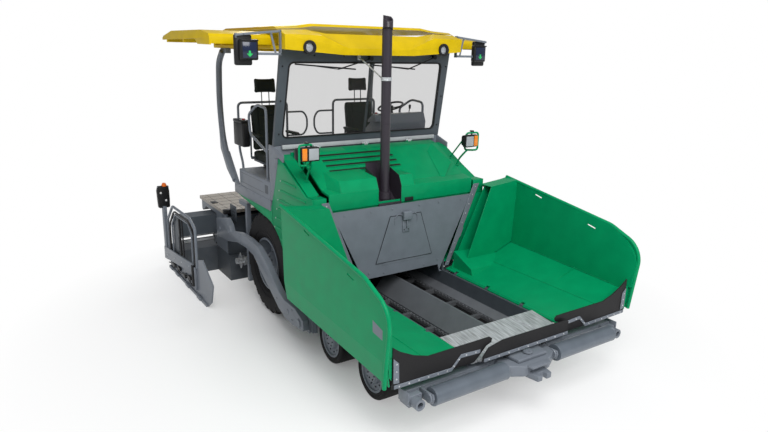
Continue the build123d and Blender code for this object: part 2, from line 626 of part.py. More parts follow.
def roof():
    """Roof shell with its moulded visor on two side beams, open at the sides."""
    x, top = ROOF_X, ROOF_TOP_Z
    visor = [(500, 3385), (x, 3440), (x, 3600), (800, 3600), (450, 3462)]
    crown = [(500, 3400), (x, 3440), (x, top - 45), (1000, top - 30), (800, top)]
    back = [(500, 3400), (x, 3440), (x, top - 130), (1000, top - 115), (800, top - 85)]
    inside = [(x + 50, 3000), (x + 50, top - 75), (1000, top - 60), (790, top - 30)]
    inside_rear = [(x + 50, 3000), (x + 50, top - 155), (1000, top - 140), (790, top - 110)]
    front_y, rear_y = ROOF_FRONT_Y, ROOF_REAR_Y
    shell = fused([
        loft([roof_section(front_y, visor), roof_section(-480, crown)], ruled=True),
        loft([roof_section(-480, crown), roof_section(1100, crown)], ruled=True),
        loft([roof_section(1100, crown), roof_section(rear_y, back)], ruled=True)])
    shell = shell - loft([roof_section(-600, inside), roof_section(1100, inside)], ruled=True)
    shell = shell - loft([roof_section(1100, inside), roof_section(rear_y - 30, inside_rear)],
                         ruled=True)
    for lamp_x in (-965, 965):
        shell = shell - rod_y(62, lamp_x, front_y - 20, front_y + 60, 3465)
    beam = slab(1180, x, -610, rear_y, BEAM_Z, BEAM_Z + BEAM_T)
    pads = [slab(1180, x, y - 10, y + 50, BEAM_Z + BEAM_T, RAIL_Z - SEAT) for y in RAIL_Y]
    side = fused([beam] + pads)
    return fused([shell, side, other_side(side)])


def roof_flap():
    """Left side flap of the roof, drawn out on its rails."""
    out_x = 1990
    top = [(-410, 3560), (-380, 3592), (-100, 3636), (1100, 3640), (1500, 3580), (1550, 3556)]
    under = [(y, z - 22) for y, z in reversed(top)]
    plate = side_plate(top + under, ROOF_X + RUN_GAP, out_x)
    lip = side_plate(top + [(1550, 3531), (120, 3540), (20, 3480), (-410, 3474)],
                     out_x - 18, out_x)
    front = slab(ROOF_X + RUN_GAP, out_x, -410, -388, 3486, 3560)
    in_x = ROOF_X + RUN_GAP
    rails = [slab(FLAP_RAIL_IN, out_x, y, y + 40, RAIL_Z, RAIL_Z + 45) for y in RAIL_Y]
    rails += [slab(in_x, in_x + 40, y, y + 40, RAIL_Z, RAIL_Z + 90) for y in RAIL_Y]
    return fused([plate, lip, front] + rails)


def rear_post():
    """Left bent rear post of the roof."""
    points = [(1270, 985, 1640), (1270, 1417, 2093), (1270, 1521, 2709), (1270, 1478, 3250),
              (1270, 1300, 3395)]
    tube = pipe(points, 42, [180, 500, 140])
    foot = side_plate([(880, 1600 + SEAT), (1045, 1600 + SEAT), (1330, 1950), (1250, 2010)],
                      1235, 1255)
    head = slab(1190, 1262, 1180, 1400, 3370, BEAM_Z - SEAT)
    return fused([tube, foot, head])


def seat():
    """Left seat on its pedestal."""
    x = 760
    base = slab(x - 140, x + 140, 560, 880, 1575, 1900)
    cushion = slab(x - 250, x + 250, 480, 980, 1900, 2040)
    back = side_plate([(900, 2040), (1010, 2040), (1090, 2640), (1060, 2760), (985, 2760),
                       (960, 2640)], x - 240, x + 240)
    head = side_plate([(1000, 2760), (1085, 2760), (1095, 2990), (1020, 2990)], x - 110, x + 110)
    arms = [slab(s - 30, s + 30, 560, 960, 2230, 2280) for s in (x - 280, x + 280)]
    stays = [slab(s - 20, s + 20, 900, 950, 1980, 2230) for s in (x - 265, x + 265)]
    return fused([base, cushion, back, head] + arms + stays)


def console():
    """Operator console with steering column across the platform."""
    foot = slab(-200, 200, -120, 180, 1575, 2250)
    desk = side_plate([(-180, 2250), (240, 2250), (260, 2330), (-120, 2470), (-200, 2440)],
                      -330, 1150)
    column = pipe([(760, 80, 2300), (760, 197, 2594)], 28, 1)
    wheel = Pos(760, 200, 2600) * (Rot(-25, 0, 0) * Torus(180, 16))
    spoke = Pos(760, 196, 2590) * (Rot(-25, 0, 0) * Box(350, 30, 14))
    return fused([foot, desk, column, wheel, spoke])


def handrail():
    """Left tubular handrails: one beside the seat and one behind it."""
    side = pipe([(1210, -8, 1830), (1210, -8, 2726), (1210, 546, 2720), (1210, 546, 1830)],
                17, 60)
    rear = pipe([(1130, 1022, 1575), (1130, 1022, 1850), (1130, 1140, 2050), (1130, 1140, 2640),
                 (330, 1140, 2640), (330, 1140, 2050), (330, 1022, 1850), (330, 1022, 1575)],
                17, 70)
    return [side, rear]


def work_lamp():
    """Left work lamp on its looped stalk."""
    (y0, z0), (y1, z1) = COWL_RIM
    slope = (z1 - z0) / (y1 - y0)
    feet = []
    for x, y in ((1108, -1060), (1205, -1000)):
        low, high = [z0 + (edge - y0) * slope + SEAT for edge in (y - 30, y + 30)]
        feet.append(side_plate([(y - 30, low), (y + 30, high), (y + 30, high + 12),
                                (y - 30, low + 12)], x - 20, x + 20))
    x = LAMP_IN_X + 80
    stalk = pipe([(1108, -1060, 1936), (1112, -1100, 2130), (1290, -1120, 2180),
                  (1290, -1120, 2420), (x, -1120, 2425), (x, -1120, 2380)], 12, 28)
    brace = pipe([(1205, -1000, 1966), (1240, -1060, 2168)], 10, 1)
    head = slab(LAMP_IN_X, LAMP_IN_X + 160, -1190, -1090, 2235, 2385)
    return fused([stalk, head, brace] + feet)


def display():
    """Left feed display on its arms at the roof's front corner."""
    screen = slab(1545, 1760, -745, -690, 3312, 3526)
    case = slab(1600, 1800, -690, -640, 3247, 3600)
    root = slab(ROOF_X + SEAT, ROOF_X + 16, -690, -640, 3385, 3640)
    arms = [side_arm for side_arm in (
        front_plate([(ROOF_X + 8, 3640), (ROOF_X + 8, 3616), (1680, 3585), (1680, 3609)],
                    -680, -655),
        slab(ROOF_X + 8, 1610, -680, -655, 3388, 3408))]
    return fused([screen, case, root] + arms)


# ---------------------------------------------------------------- screed
def tow_block():
    """Left tow point: block on the guide with the arm's pin."""
    block = slab(GUIDE_X + FIT, ARM_X - 6, TOW_Y - 90, TOW_Y + 90, TOW_Z - 110, TOW_Z + 110)
    pin = rod_x(TOW_PIN_R, ARM_X - 8, ARM_X + ARM_T + 16, TOW_Y, TOW_Z)
    washer = rod_x(TOW_PIN_R + 18, ARM_X + ARM_T + SEAT, ARM_X + ARM_T + 16, TOW_Y, TOW_Z)
    return fused([block, pin, washer])


def tow_guide():
    """Left guide of the tow point on the chassis, with the arm's rear guide post."""
    rail = slab(GUIDE_X - 30, GUIDE_X, TOW_Y - 130, TOW_Y + 130, 250, 790)
    stay = slab(WALL_X, GUIDE_X - 30, TOW_Y - 40, TOW_Y + 40, 590, 650)
    lips = [slab(GUIDE_X, GUIDE_X + 30, y0, y0 + 30, 250, 790)
            for y0 in (TOW_Y - 120 - FIT, TOW_Y + 90 + FIT)]
    return fused([rail, stay] + lips)


def tow_arm():
    """Left tow arm, cranked over the drive wheel."""
    outline = [(SCREED_FRONT_Y + 240, 700), (SCREED_FRONT_Y + 240, 960), (1300, 960), (700, 950),
               (180, 940), (-80, 925), (-190, 890), (-500, 590), (-718, 450), (-1050, 460),
               (-1340, 420), (-1360, 300), (-1060, 262), (-491, 335), (-265, 405), (85, 590),
               (311, 770), (1100, 700)]
    arm = side_plate(outline, ARM_X, ARM_X + ARM_T)
    return arm - rod_x(TOW_PIN_R + FIT, ARM_X - 5, ARM_X + ARM_T + 5, TOW_Y, TOW_Z)


def screed_body():
    """Basic screed: sole box, upper frame, end plates and walkway frame."""
    x = SCREED_X
    front = SCREED_FRONT_Y
    sole = slab(-x, x, front, MAIN_SOLE_REAR_Y, 0, 400)
    upper = slab(-x, x, front + 60, 1640, 400, 980)
    end = side_plate([(front + 60, 400), (front + 60, WALK_Z), (2600, WALK_Z), (2600, 850),
                      (2480, 880), (2400, 940), (EXT_COVER_Y[1] - 40, 940), (2135, 900),
                      (2135, 470), (2080, 440), (1700, 440), (1700, 400)], x - 20, x)
    opening = slab(x - 30, x + 10, EXT_COVER_Y[0] - 8, EXT_COVER_Y[1] + 8,
                   EXT_COVER_Z[0] - 8, EXT_COVER_Z[1] + 8)
    end = end - opening
    for z in TUBE_Z:
        end = end - rod_x(TUBE_R + FIT, x - 30, x + 10, TUBE_Y, z)
    rear = slab(-x, x, 2560, 2600, 850, WALK_Z)
    joist = slab(-x, x, 1640, 2560, 985, WALK_Z)
    link = slab(x, ARM_X, front + 80, front + 230, 700, 940)
    return fused([sole, upper, end, other_side(end), rear, joist, link, other_side(link)])


def screed_walkway():
    """Pale grating on top of the screed."""
    return slab(-SCREED_X - 25, SCREED_X + 25, SCREED_FRONT_Y + 100, 2640, WALK_Z, WALK_Z + WALK_T)


def extension():
    """Left extending screed: sole box, cover box and chrome guide tubes."""
    inner, outer = EXT_IN_X, GATE_X
    cover_y, cover_z = EXT_COVER_Y, EXT_COVER_Z
    sole = slab(inner, outer, MAIN_SOLE_REAR_Y + RUN_GAP, EXT_SOLE_REAR_Y, 0, 400)
    cover = slab(inner, outer, cover_y[0], cover_y[1], cover_z[0], cover_z[1])
    hangers = [slab(x, x + 40, MAIN_SOLE_REAR_Y + RUN_GAP, cover_y[1], 400, cover_z[0])
               for x in (inner, outer - 40)]
    tubes = [rod_x(TUBE_R, inner, outer, TUBE_Y, z) for z in TUBE_Z]
    return fused([sole, cover] + hangers + tubes)


def end_gate():
    """Left end gate: ski nose, side plate, arch handle and marker post."""
    x0, x1 = GATE_X, GATE_X + GATE_T
    front, rear = GATE_FRONT_Y, GATE_REAR_Y
    plate = side_plate([(front, 390), (front + 100, 120), (front + 270, 0), (2430, 0),
                        (2450, 110), (rear, 110), (rear, 254), (1066, 437), (960, 560),
                        (712, 631)], x0, x0 + 20)
    runner = slab(x0, x1, front + 270, 2430, 0, 40)
    band = side_plate([(1110, 350), (rear, 120), (rear, 254), (1066, 437)], x0 + 20, x0 + 34)
    arch = pipe([(x0 + 20, 960, 440), (x0 + 20, 950, 1010), (x0 + 20, 1190, 1110),
                 (x0 + 20, 2080, 1090), (x0 + 20, 2420, 800), (x0 + 20, 2420, 200)], 20,
                [80, 90, 150, 100])
    inner = pipe([(x0 + 20, 1150, 400), (x0 + 20, 1140, 900), (x0 + 20, 1290, 1010),
                  (x0 + 20, 1960, 990), (x0 + 20, 2180, 780), (x0 + 20, 2180, 240)], 13,
                 [80, 80, 100, 80])
    post = slab(x0, x1, rear - 50, rear, 90, 950)
    marker = slab(x0 - 70, x1 + 60, rear - 50, rear, 960, 1300)
    stem = slab(x0 + 10, x0 + 30, rear - 30, rear - 10, 940, 970)
    return fused([plate, runner, band, arch, inner, post, stem, marker])


def auger():
    """Left spreading auger: shaft with flat quarter flights."""
    pieces = [rod_x(45, 35 + SEAT, 1240, AUGER_Y, AUGER_Z)]
    for i in range(19):
        blade = Rot(0, 90, 0) * Cylinder(AUGER_R, 12, arc_size=100)
        blade = Rot(i * 72, 0, 0) * blade
        pieces.append(Pos(90 + i * 60, AUGER_Y, AUGER_Z) * blade)
    return fused(pieces)


def auger_carrier():
    """Frame behind the tractor that carries the augers, with the rear cover."""
    beam = slab(-WALL_X, WALL_X, FRAME_REAR_Y, FRAME_REAR_Y + 60, TUNNEL_TOP_Z, 900)
    cover = slab(-WALL_X, WALL_X, FRAME_REAR_Y, FRAME_REAR_Y + 15, 900, DECK_Z - 5)
    gearbox = slab(-35, 35, FRAME_REAR_Y + 30, AUGER_Y + 60, AUGER_Z - 60, TUNNEL_TOP_Z)
    head = slab(-35, 35, FRAME_REAR_Y + 30, AUGER_Y + 60, TUNNEL_TOP_Z, TUNNEL_TOP_Z + 60)
    return fused([beam, cover, gearbox, head])


def glass_block(gap):
    """The windshield's opening as a block with round corners, drawn in by a gap."""
    outline = [(-GLASS_LOW_X + gap, GLASS_LOW_Z + gap), (GLASS_LOW_X - gap, GLASS_LOW_Z + gap),
               (GLASS_TOP_X - gap, GLASS_TOP_Z - gap), (-GLASS_TOP_X + gap, GLASS_TOP_Z - gap)]
    block = front_plate(outline, -800, 0)
    return fillet(block.edges().filter_by(Axis.Y), GLASS_R - gap)


def roof_section(y, points):
    """Half outline of (x, z) points, completed to a closed roof section at y."""
    whole = points + [(-x, z) for x, z in reversed(points)]
    return Plane.XZ.offset(-y) * make_face(Polyline(*whole, close=True))


def guide_post():
    """Left grey post behind the drive wheel that keeps the tow arm on line."""
    y = REAR_TYRE_R + 20
    post = slab(1165, 1225, y, y + 65, 200, 1350)
    stay = slab(WALL_X + SEAT, 1165, y + 15, y + 55, 740, 790)
    head = slab(1165, 1225, y + 10, y + 300, 1290, 1350)
    return fused([post, stay, head])


def main():
    write("chassis_frame", chassis_frame())
    write("engine_block", engine_block())
    write("conveyor_trough", conveyor_trough())
    write("conveyors", conveyor(1), conveyor(-1))
    write("chute_plate", chute_plate())
    write("front_sill", front_sill())
    write("centre_apron", centre_apron())
    write("side_covers", side_cover(), other_side(side_cover()))
    write("mudguards", mudguard(), other_side(mudguard()))
    write("nose_cowl", nose_cowl())
    write("platform", platform())
    write("windshield_frame", windshield_frame())
    write("windshield_glass", windshield_glass())
    write("roof", roof())
    write("rear_posts", rear_post(), other_side(rear_post()))
    write("seats", seat(), other_side(seat()))
    write("console", console())
    rails = handrail()
    write("handrails", *(rails + [other_side(rail) for rail in rails]))
    write("exhaust", exhaust())
    write("work_lamps", work_lamp(), other_side(work_lamp()))
    write("displays", display(), other_side(display()))
    write("axles", bogie(), other_side(bogie()), rear_drive(), other_side(rear_drive()))
    write("tow_guides", tow_guide(), other_side(tow_guide()), guide_post(),
          other_side(guide_post()))
    write("auger_carrier", auger_carrier())
    write("crossbar", crossbar())
    write("hood_lid", hood_lid())
    write("tow_blocks", tow_block(), other_side(tow_block()))
    write("tow_arms", tow_arm(), other_side(tow_arm()))
    write("screed_body", screed_body())
    write("screed_walkway", screed_walkway())
    left_pieces = (
        ("push_roller", push_roller()),
        ("rear_tyre", rear_tyre()),
        ("rear_rim", rear_rim()),
        ("front_tyre_1", front_tyre(FRONT_AXLE_Y)),
        ("front_rim_1", front_rim(FRONT_AXLE_Y)),
        ("knuckle_1", knuckle(FRONT_AXLE_Y)),
        ("front_tyre_2", front_tyre(SECOND_AXLE_Y)),
        ("front_rim_2", front_rim(SECOND_AXLE_Y)),
        ("knuckle_2", knuckle(SECOND_AXLE_Y)),
        ("wing", wing()),
        ("wing_apron", wing_apron()),
        ("roof_flap", roof_flap()),
        ("extension", extension()),
        ("end_gate", end_gate()),
        ("auger", auger()),
    )
    for name, shape in left_pieces:
        write(name + "_left", shape)
        write(name + "_right", other_side(shape))


main()
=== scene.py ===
import json
from math import cos, pi, radians, sin

import bpy
from mathutils import Matrix, Vector
from mathutils.bvhtree import BVHTree


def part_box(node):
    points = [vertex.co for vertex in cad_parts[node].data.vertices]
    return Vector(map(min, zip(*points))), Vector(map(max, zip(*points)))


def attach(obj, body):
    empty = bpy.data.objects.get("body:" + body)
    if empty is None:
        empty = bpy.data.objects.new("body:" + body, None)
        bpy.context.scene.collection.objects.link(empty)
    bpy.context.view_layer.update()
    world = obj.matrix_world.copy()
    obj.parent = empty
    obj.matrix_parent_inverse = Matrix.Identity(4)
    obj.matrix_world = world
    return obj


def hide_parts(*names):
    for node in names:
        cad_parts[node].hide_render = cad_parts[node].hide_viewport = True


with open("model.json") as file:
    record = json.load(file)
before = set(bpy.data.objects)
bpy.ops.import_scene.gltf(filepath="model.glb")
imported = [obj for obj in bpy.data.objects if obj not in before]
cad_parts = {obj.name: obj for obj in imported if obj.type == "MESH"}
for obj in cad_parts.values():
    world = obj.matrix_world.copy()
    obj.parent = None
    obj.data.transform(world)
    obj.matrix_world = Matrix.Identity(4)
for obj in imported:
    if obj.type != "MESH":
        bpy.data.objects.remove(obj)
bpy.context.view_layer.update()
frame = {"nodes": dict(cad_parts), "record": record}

bl_info = {
    "name": "Asphalt paver",
    "version": (1, 0, 0),
    "blender": (4, 5, 0),
    "location": "View3D > Sidebar > Paver",
    "description": "Finishes and detail pieces of a wheeled asphalt paver",
    "category": "Add Mesh",
}

AXLE_Y = (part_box("rear_tyre_left")[0].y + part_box("rear_tyre_left")[1].y) / 2
SIDES = (("left", 1), ("right", -1))
COAT_ROUGHNESS = 0.08      # of every clear coat
LEVEL_BLUR = 0.004         # half height of the step between two colours, m
FLOOR_RADIUS = 40          # m
FLOOR_FADE = (1.0, 4.6)    # where the floor starts to fade and where it is white, m
FLOOR_DROP = 0.001         # keeps the floor just under the wheels, m
ABOVE_ALL_Z = 4.5          # higher than any piece, m
BEND_STEPS = 5             # steps of the arc at a bend
SOFT_ANGLE = 28            # edges sharper than this are rounded, degrees
CHANNEL_WIDTH = 0.009      # half width of a sewn channel, m
PAD_PRESSURE = 4.0         # of the cloth that swells a pad
BELLOWS_FOLDS = 5
FOLD_PITCH = 0.046         # m
KEY_PITCH_X = 0.092        # between the console's keys, m
KEY_PITCH_Y = 0.075
SCREEN_X = (0.7, 0.87)    # where the console's screen takes the place of keys, m
WHEEL_R = 0.18             # of the steering wheel, m


# ------------------------------------------------------------------ node groups
def shader_node(tree, kind, inputs=None, **settings):
    """A shader node with its settings, and with values or links on its inputs."""
    made = tree.nodes.new("ShaderNode" + kind)
    for key, value in settings.items():
        setattr(made, key, value)
    for socket, value in (inputs or {}).items():
        if isinstance(value, bpy.types.NodeSocket):
            tree.links.new(value, made.inputs[socket])
        else:
            made.inputs[socket].default_value = value
    return made


def object_place(tree):
    """The Object coordinates, which are metres of the frame."""
    return shader_node(tree, "TexCoord").outputs["Object"]


def group_shell(name, inputs, outputs):
    """An empty node group, with the sockets of its two end nodes."""
    group = bpy.data.node_groups.new(name, "ShaderNodeTree")
    for socket_name, value in inputs.items():
        kind = "NodeSocketColor" if isinstance(value, tuple) else "NodeSocketFloat"
        socket = group.interface.new_socket(socket_name, in_out="INPUT", socket_type=kind)
        socket.default_value = value
    for socket_name, kind in outputs.items():
        group.interface.new_socket(socket_name, in_out="OUTPUT", socket_type="NodeSocket" + kind)
    return (group, group.nodes.new("NodeGroupInput").outputs,
            group.nodes.new("NodeGroupOutput").inputs)


def fine_grain_group():
    """Height of a fine surface grain with a slow unevenness under it."""
    group, given, out = group_shell("fine_grain", {"Scale": 300.0, "Unevenness": 0.3},
                                    {"Height": "Float"})
    place = object_place(group)
    fine = shader_node(group, "TexNoise", {"Vector": place, "Scale": given["Scale"]})
    slow = shader_node(group, "TexNoise", {"Vector": place, "Scale": 7.0})
    both = shader_node(group, "Math", {0: slow.outputs["Fac"], 1: given["Unevenness"],
                                       2: fine.outputs["Fac"]}, operation="MULTIPLY_ADD")
    group.links.new(both.outputs[0], out["Height"])
    return group


def mottle_group():
    """A colour and a roughness that drift slightly over a surface, dustier near the ground."""
    group, given, out = group_shell(
        "mottle",
        {"Base": (0.5, 0.5, 0.5, 1), "Dust": (0.32, 0.3, 0.28, 1), "Dust amount": 0.15,
         "Dust height": 0.7, "Roughness": 0.4, "Drift": 0.1, "Scale": 6.0},
        {"Color": "Color", "Roughness": "Float"})
    place = object_place(group)
    noise = shader_node(group, "TexNoise", {"Vector": place, "Scale": given["Scale"],
                                            "Detail": 6.0}).outputs["Fac"]
    split = shader_node(group, "SeparateXYZ", {0: place})
    height = shader_node(group, "MapRange", {"Value": split.outputs["Z"], "To Min": 1.0,
                                             "From Max": given["Dust height"], "To Max": 0.0})
    near_ground = shader_node(group, "Math", {0: height.outputs[0], 1: noise},
                              operation="MULTIPLY")
    dusty = shader_node(group, "Math", {0: near_ground.outputs[0], 1: given["Dust amount"]},
                        operation="MULTIPLY").outputs[0]
    drift = shader_node(group, "MapRange", {"Value": noise, "From Min": 0.3, "From Max": 0.7,
                                            "To Min": 0.93, "To Max": 1.07})
    shade = shader_node(group, "VectorMath", {0: given["Base"], "Scale": drift.outputs[0]},
                        operation="SCALE")
    mix = shader_node(group, "Mix", {"Factor": dusty, 6: shade.outputs[0], 7: given["Dust"]},
                      data_type="RGBA")
    group.links.new(mix.outputs[2], out["Color"])
    rough = shader_node(group, "Math", {0: noise, 1: given["Drift"], 2: given["Roughness"]},
                        operation="MULTIPLY_ADD")
    lift = shader_node(group, "Math", {0: dusty, 1: 0.5, 2: rough.outputs[0]},
                       operation="MULTIPLY_ADD")
    group.links.new(lift.outputs[0], out["Roughness"])
    return group


def edge_wear_and_highlight_group():
    """A mask that is 1 on the outer edges of a piece and broken up by noise; it lays worn metal
    edges and painted edge highlights.
    """
    group, given, out = group_shell("worn_edge", {"Width": 0.004, "Amount": 0.5},
                                    {"Mask": "Float"})
    bevel = shader_node(group, "Bevel", {"Radius": given["Width"]}, samples=4)
    surface = shader_node(group, "NewGeometry")
    dot = shader_node(group, "VectorMath", {0: bevel.outputs[0], 1: surface.outputs["Normal"]},
                      operation="DOT_PRODUCT")
    edge = shader_node(group, "MapRange", {"Value": dot.outputs["Value"], "From Min": 0.99,
                                           "From Max": 0.85})
    noise = shader_node(group, "TexNoise", {"Vector": object_place(group), "Scale": 22.0,
                                            "Detail": 5.0})
    broken = shader_node(group, "MapRange", {"Value": noise.outputs["Fac"], "From Min": 0.45,
                                             "From Max": 0.6})
    both = shader_node(group, "Math", {0: edge.outputs[0], 1: broken.outputs[0]},
                       operation="MULTIPLY")
    amount = shader_node(group, "Math", {0: both.outputs[0], 1: given["Amount"]},
                         operation="MULTIPLY")
    group.links.new(amount.outputs[0], out["Mask"])
    return group


GROUPS = {"fine_grain": fine_grain_group, "mottle": mottle_group, "worn_edge": edge_wear_and_highlight_group}


def group_node(tree, name, **values):
    """Places a shared node group in a material, with its own values."""
    group = bpy.data.node_groups.get(name) or GROUPS[name]()
    node = tree.nodes.new("ShaderNodeGroup")
    node.node_tree = group
    for key, value in values.items():
        node.inputs[key.replace("_", " ")].default_value = value
    return node


# ------------------------------------------------------------------ materials
def new_material(name, **values):
    """A material with one Principled shader whose plain values are set here."""
    material = bpy.data.materials.new(name)
    material.use_nodes = True
    tree = material.node_tree
    shader = tree.nodes["Principled BSDF"]
    for key, value in values.items():
        shader.inputs[key.replace("_", " ")].default_value = value
    return material, tree, shader


def fed(tree, shader, **sources):
    """Links outputs to inputs of the shader."""
    for key, source in sources.items():
        tree.links.new(source, shader.inputs[key.replace("_", " ")])


def bump(tree, shader, height, strength, distance):
    """Feeds a height into the shader's normal."""
    node = shader_node(tree, "Bump", {"Strength": strength, "Distance": distance,
                                      "Height": height})
    fed(tree, shader, Normal=node.outputs[0])


def coated(name, base, rough, grain, strength, coat=0.0, metallic=0.0, dust=0.15, bare=None,
           wear_and_highlight_amount=0.0, dust_height=0.7, shine=0.28):
    """Paint or moulding: drifting colour, dust near the ground, fine grain, and edges tinted as
    worn metal and as painted highlight.
    """
    material, tree, shader = new_material(name, Metallic=metallic, Coat_Weight=coat,
                                          Coat_Roughness=COAT_ROUGHNESS, Specular_IOR_Level=shine)
    mottle = group_node(tree, "mottle", Base=(*base, 1), Dust_amount=dust, Roughness=rough,
                        Drift=0.12, Dust_height=dust_height)
    look = mottle.outputs["Color"]
    # edge tint: a painted highlight on the green paint, worn metal on the grey finishes
    if wear_and_highlight_amount:
        edge = group_node(tree, "worn_edge", Amount=wear_and_highlight_amount, Width=0.003)
        look = shader_node(tree, "Mix", {"Factor": edge.outputs["Mask"], 6: look,
                                         7: (*bare, 1)}, data_type="RGBA").outputs[2]
    fed(tree, shader, Base_Color=look, Roughness=mottle.outputs["Roughness"])
    fine = group_node(tree, "fine_grain", Scale=grain)
    bump(tree, shader, fine.outputs["Height"], strength, 0.002)
    return material


def scraped_steel(name, tint, rough, stretch=(60, 1.5, 60)):
    """Bare steel with long scrape marks along one direction."""
    material, tree, shader = new_material(name, Metallic=0.5, Coat_Roughness=COAT_ROUGHNESS)
    along = shader_node(tree, "Mapping", {"Vector": object_place(tree), "Scale": stretch})
    noise = shader_node(tree, "TexNoise", {"Vector": along.outputs[0], "Scale": 1.0,
                                           "Detail": 8.0}).outputs["Fac"]
    look = banded(tree, noise, 0.3, [c * 0.55 for c in tint], 0.7,
                  [min(1, c * 1.3) for c in tint])
    level = shader_node(tree, "MapRange", {"Value": noise, "To Min": rough - 0.1,
                                           "To Max": rough + 0.15})
    fed(tree, shader, Base_Color=look, Roughness=level.outputs[0])
    bump(tree, shader, noise, 0.25, 0.001)
    return material


def banded(tree, source, start, low, end, high):
    """A colour that runs from low to high while the source runs from start to end."""
    ramp = shader_node(tree, "ValToRGB", {0: source})
    for stop, position, tint in zip(ramp.color_ramp.elements, (start, end), (low, high)):
        stop.position = position
        stop.color = (*tint, 1)
    return ramp.outputs[0]


def clear_glass(name):
    """Thin clear pane that lets light and shadow rays through."""
    material, tree, shader = new_material(
        name, Coat_Roughness=COAT_ROUGHNESS, Base_Color=(0.05, 0.047, 0.047, 1), Roughness=0.02,
        Specular_IOR_Level=0.2, Alpha=0.2)
    noise = shader_node(tree, "TexNoise", {"Vector": object_place(tree), "Scale": 1.2})
    bump(tree, shader, noise.outputs["Fac"], 0.02, 0.01)
    return material


def grating(name, tint, pitch):
    """Pale plate with a pressed pattern of small round studs."""
    material, tree, shader = new_material(name, Metallic=0.15, Coat_Roughness=COAT_ROUGHNESS,
                                          Roughness=0.5)
    cells = shader_node(tree, "TexVoronoi", {"Vector": object_place(tree), "Scale": 1 / pitch,
                                             "Randomness": 0.0}).outputs["Distance"]
    fed(tree, shader, Base_Color=banded(tree, cells, 0.25, [c * 1.1 for c in tint], 0.45,
                                        [c * 0.7 for c in tint]))
    flip = shader_node(tree, "Math", {0: 1.0, 1: cells}, operation="SUBTRACT")
    bump(tree, shader, flip.outputs[0], 0.6, 0.003)
    return material


class PaverColours(bpy.types.PropertyGroup):
    """Colours of the machine"""
    green: bpy.props.FloatVectorProperty(
        name="Body green", description="Colour of the covers, wings and screed ends",
        subtype="COLOR", size=3, min=0, max=1, default=(0.0, 0.27, 0.103))
    grey: bpy.props.FloatVectorProperty(
        name="Frame grey", description="Colour of the platform, arms and posts",
        subtype="COLOR", size=3, min=0, max=1, default=(0.16, 0.18, 0.21))
    shell: bpy.props.FloatVectorProperty(
        name="Roof yellow", description="Colour of the roof and its flaps",
        subtype="COLOR", size=3, min=0, max=1, default=(0.66, 0.455, 0.001))
    dark: bpy.props.FloatVectorProperty(
        name="Dark grey", description="Colour of the rims and the windshield frame",
        subtype="COLOR", size=3, min=0, max=1, default=(0.066, 0.078, 0.092))
    steel: bpy.props.FloatVectorProperty(
        name="Bare steel", description="Colour of scraped steel",
        subtype="COLOR", size=3, min=0, max=1, default=(0.56, 0.58, 0.6))


class PaverSizes(bpy.types.PropertyGroup):
    """Sizes of the detail pieces"""
    lug_count: bpy.props.IntProperty(
        name="Tread lugs", description="Lugs in each row of a rear tyre", default=26, min=12,
        max=40)
    tread_depth: bpy.props.FloatProperty(
        name="Tread depth", description="Depth of the rear tyres' tread", subtype="DISTANCE",
        unit="LENGTH", default=0.014, min=0.004, max=0.03)
    bolt_radius: bpy.props.FloatProperty(
        name="Bolt head", description="Radius of the bolt heads on the plates",
        subtype="DISTANCE", unit="LENGTH", default=0.011, min=0.004, max=0.02)
    seat_swell: bpy.props.FloatProperty(
        name="Seat swell", description="How far the seat pads may swell",
        subtype="DISTANCE", unit="LENGTH", default=0.012, min=0.0, max=0.02)


def colour(name):
    """A colour of the settings."""
    return tuple(getattr(bpy.context.scene.paver_colours, name))


def size(name):
    """A size of the settings."""
    return getattr(bpy.context.scene.paver_sizes, name)


def two_level(name, low, high, level):
    """Steel that is one colour below a height and another above it; the dark low colour is painted
    shade.
    """
    material, tree, shader = new_material(name, Metallic=0.3, Coat_Roughness=COAT_ROUGHNESS)
    split = shader_node(tree, "SeparateXYZ", {0: object_place(tree)})
    above = shader_node(tree, "MapRange", {"Value": split.outputs["Z"],
                                           "From Min": level - LEVEL_BLUR,
                                           "From Max": level + LEVEL_BLUR})
    mottle = group_node(tree, "mottle", Base=(*high, 1), Dust_amount=0.1, Roughness=0.4)
    # below the level the low colour stands, as painted shade
    mix = shader_node(tree, "Mix", {"Factor": above.outputs[0], 6: (*low, 1),
                                    7: mottle.outputs["Color"]}, data_type="RGBA")
    fed(tree, shader, Base_Color=mix.outputs[2], Roughness=mottle.outputs["Roughness"])
    fine = group_node(tree, "fine_grain", Scale=180)
    bump(tree, shader, fine.outputs["Height"], 0.15, 0.002)
    return material


def lens(name, tint, rough, coat=0.6):
    """Hard shiny moulding such as a lens or a screen."""
    return coated(name, tint, rough, 60, 0.02, coat=coat, dust=0)


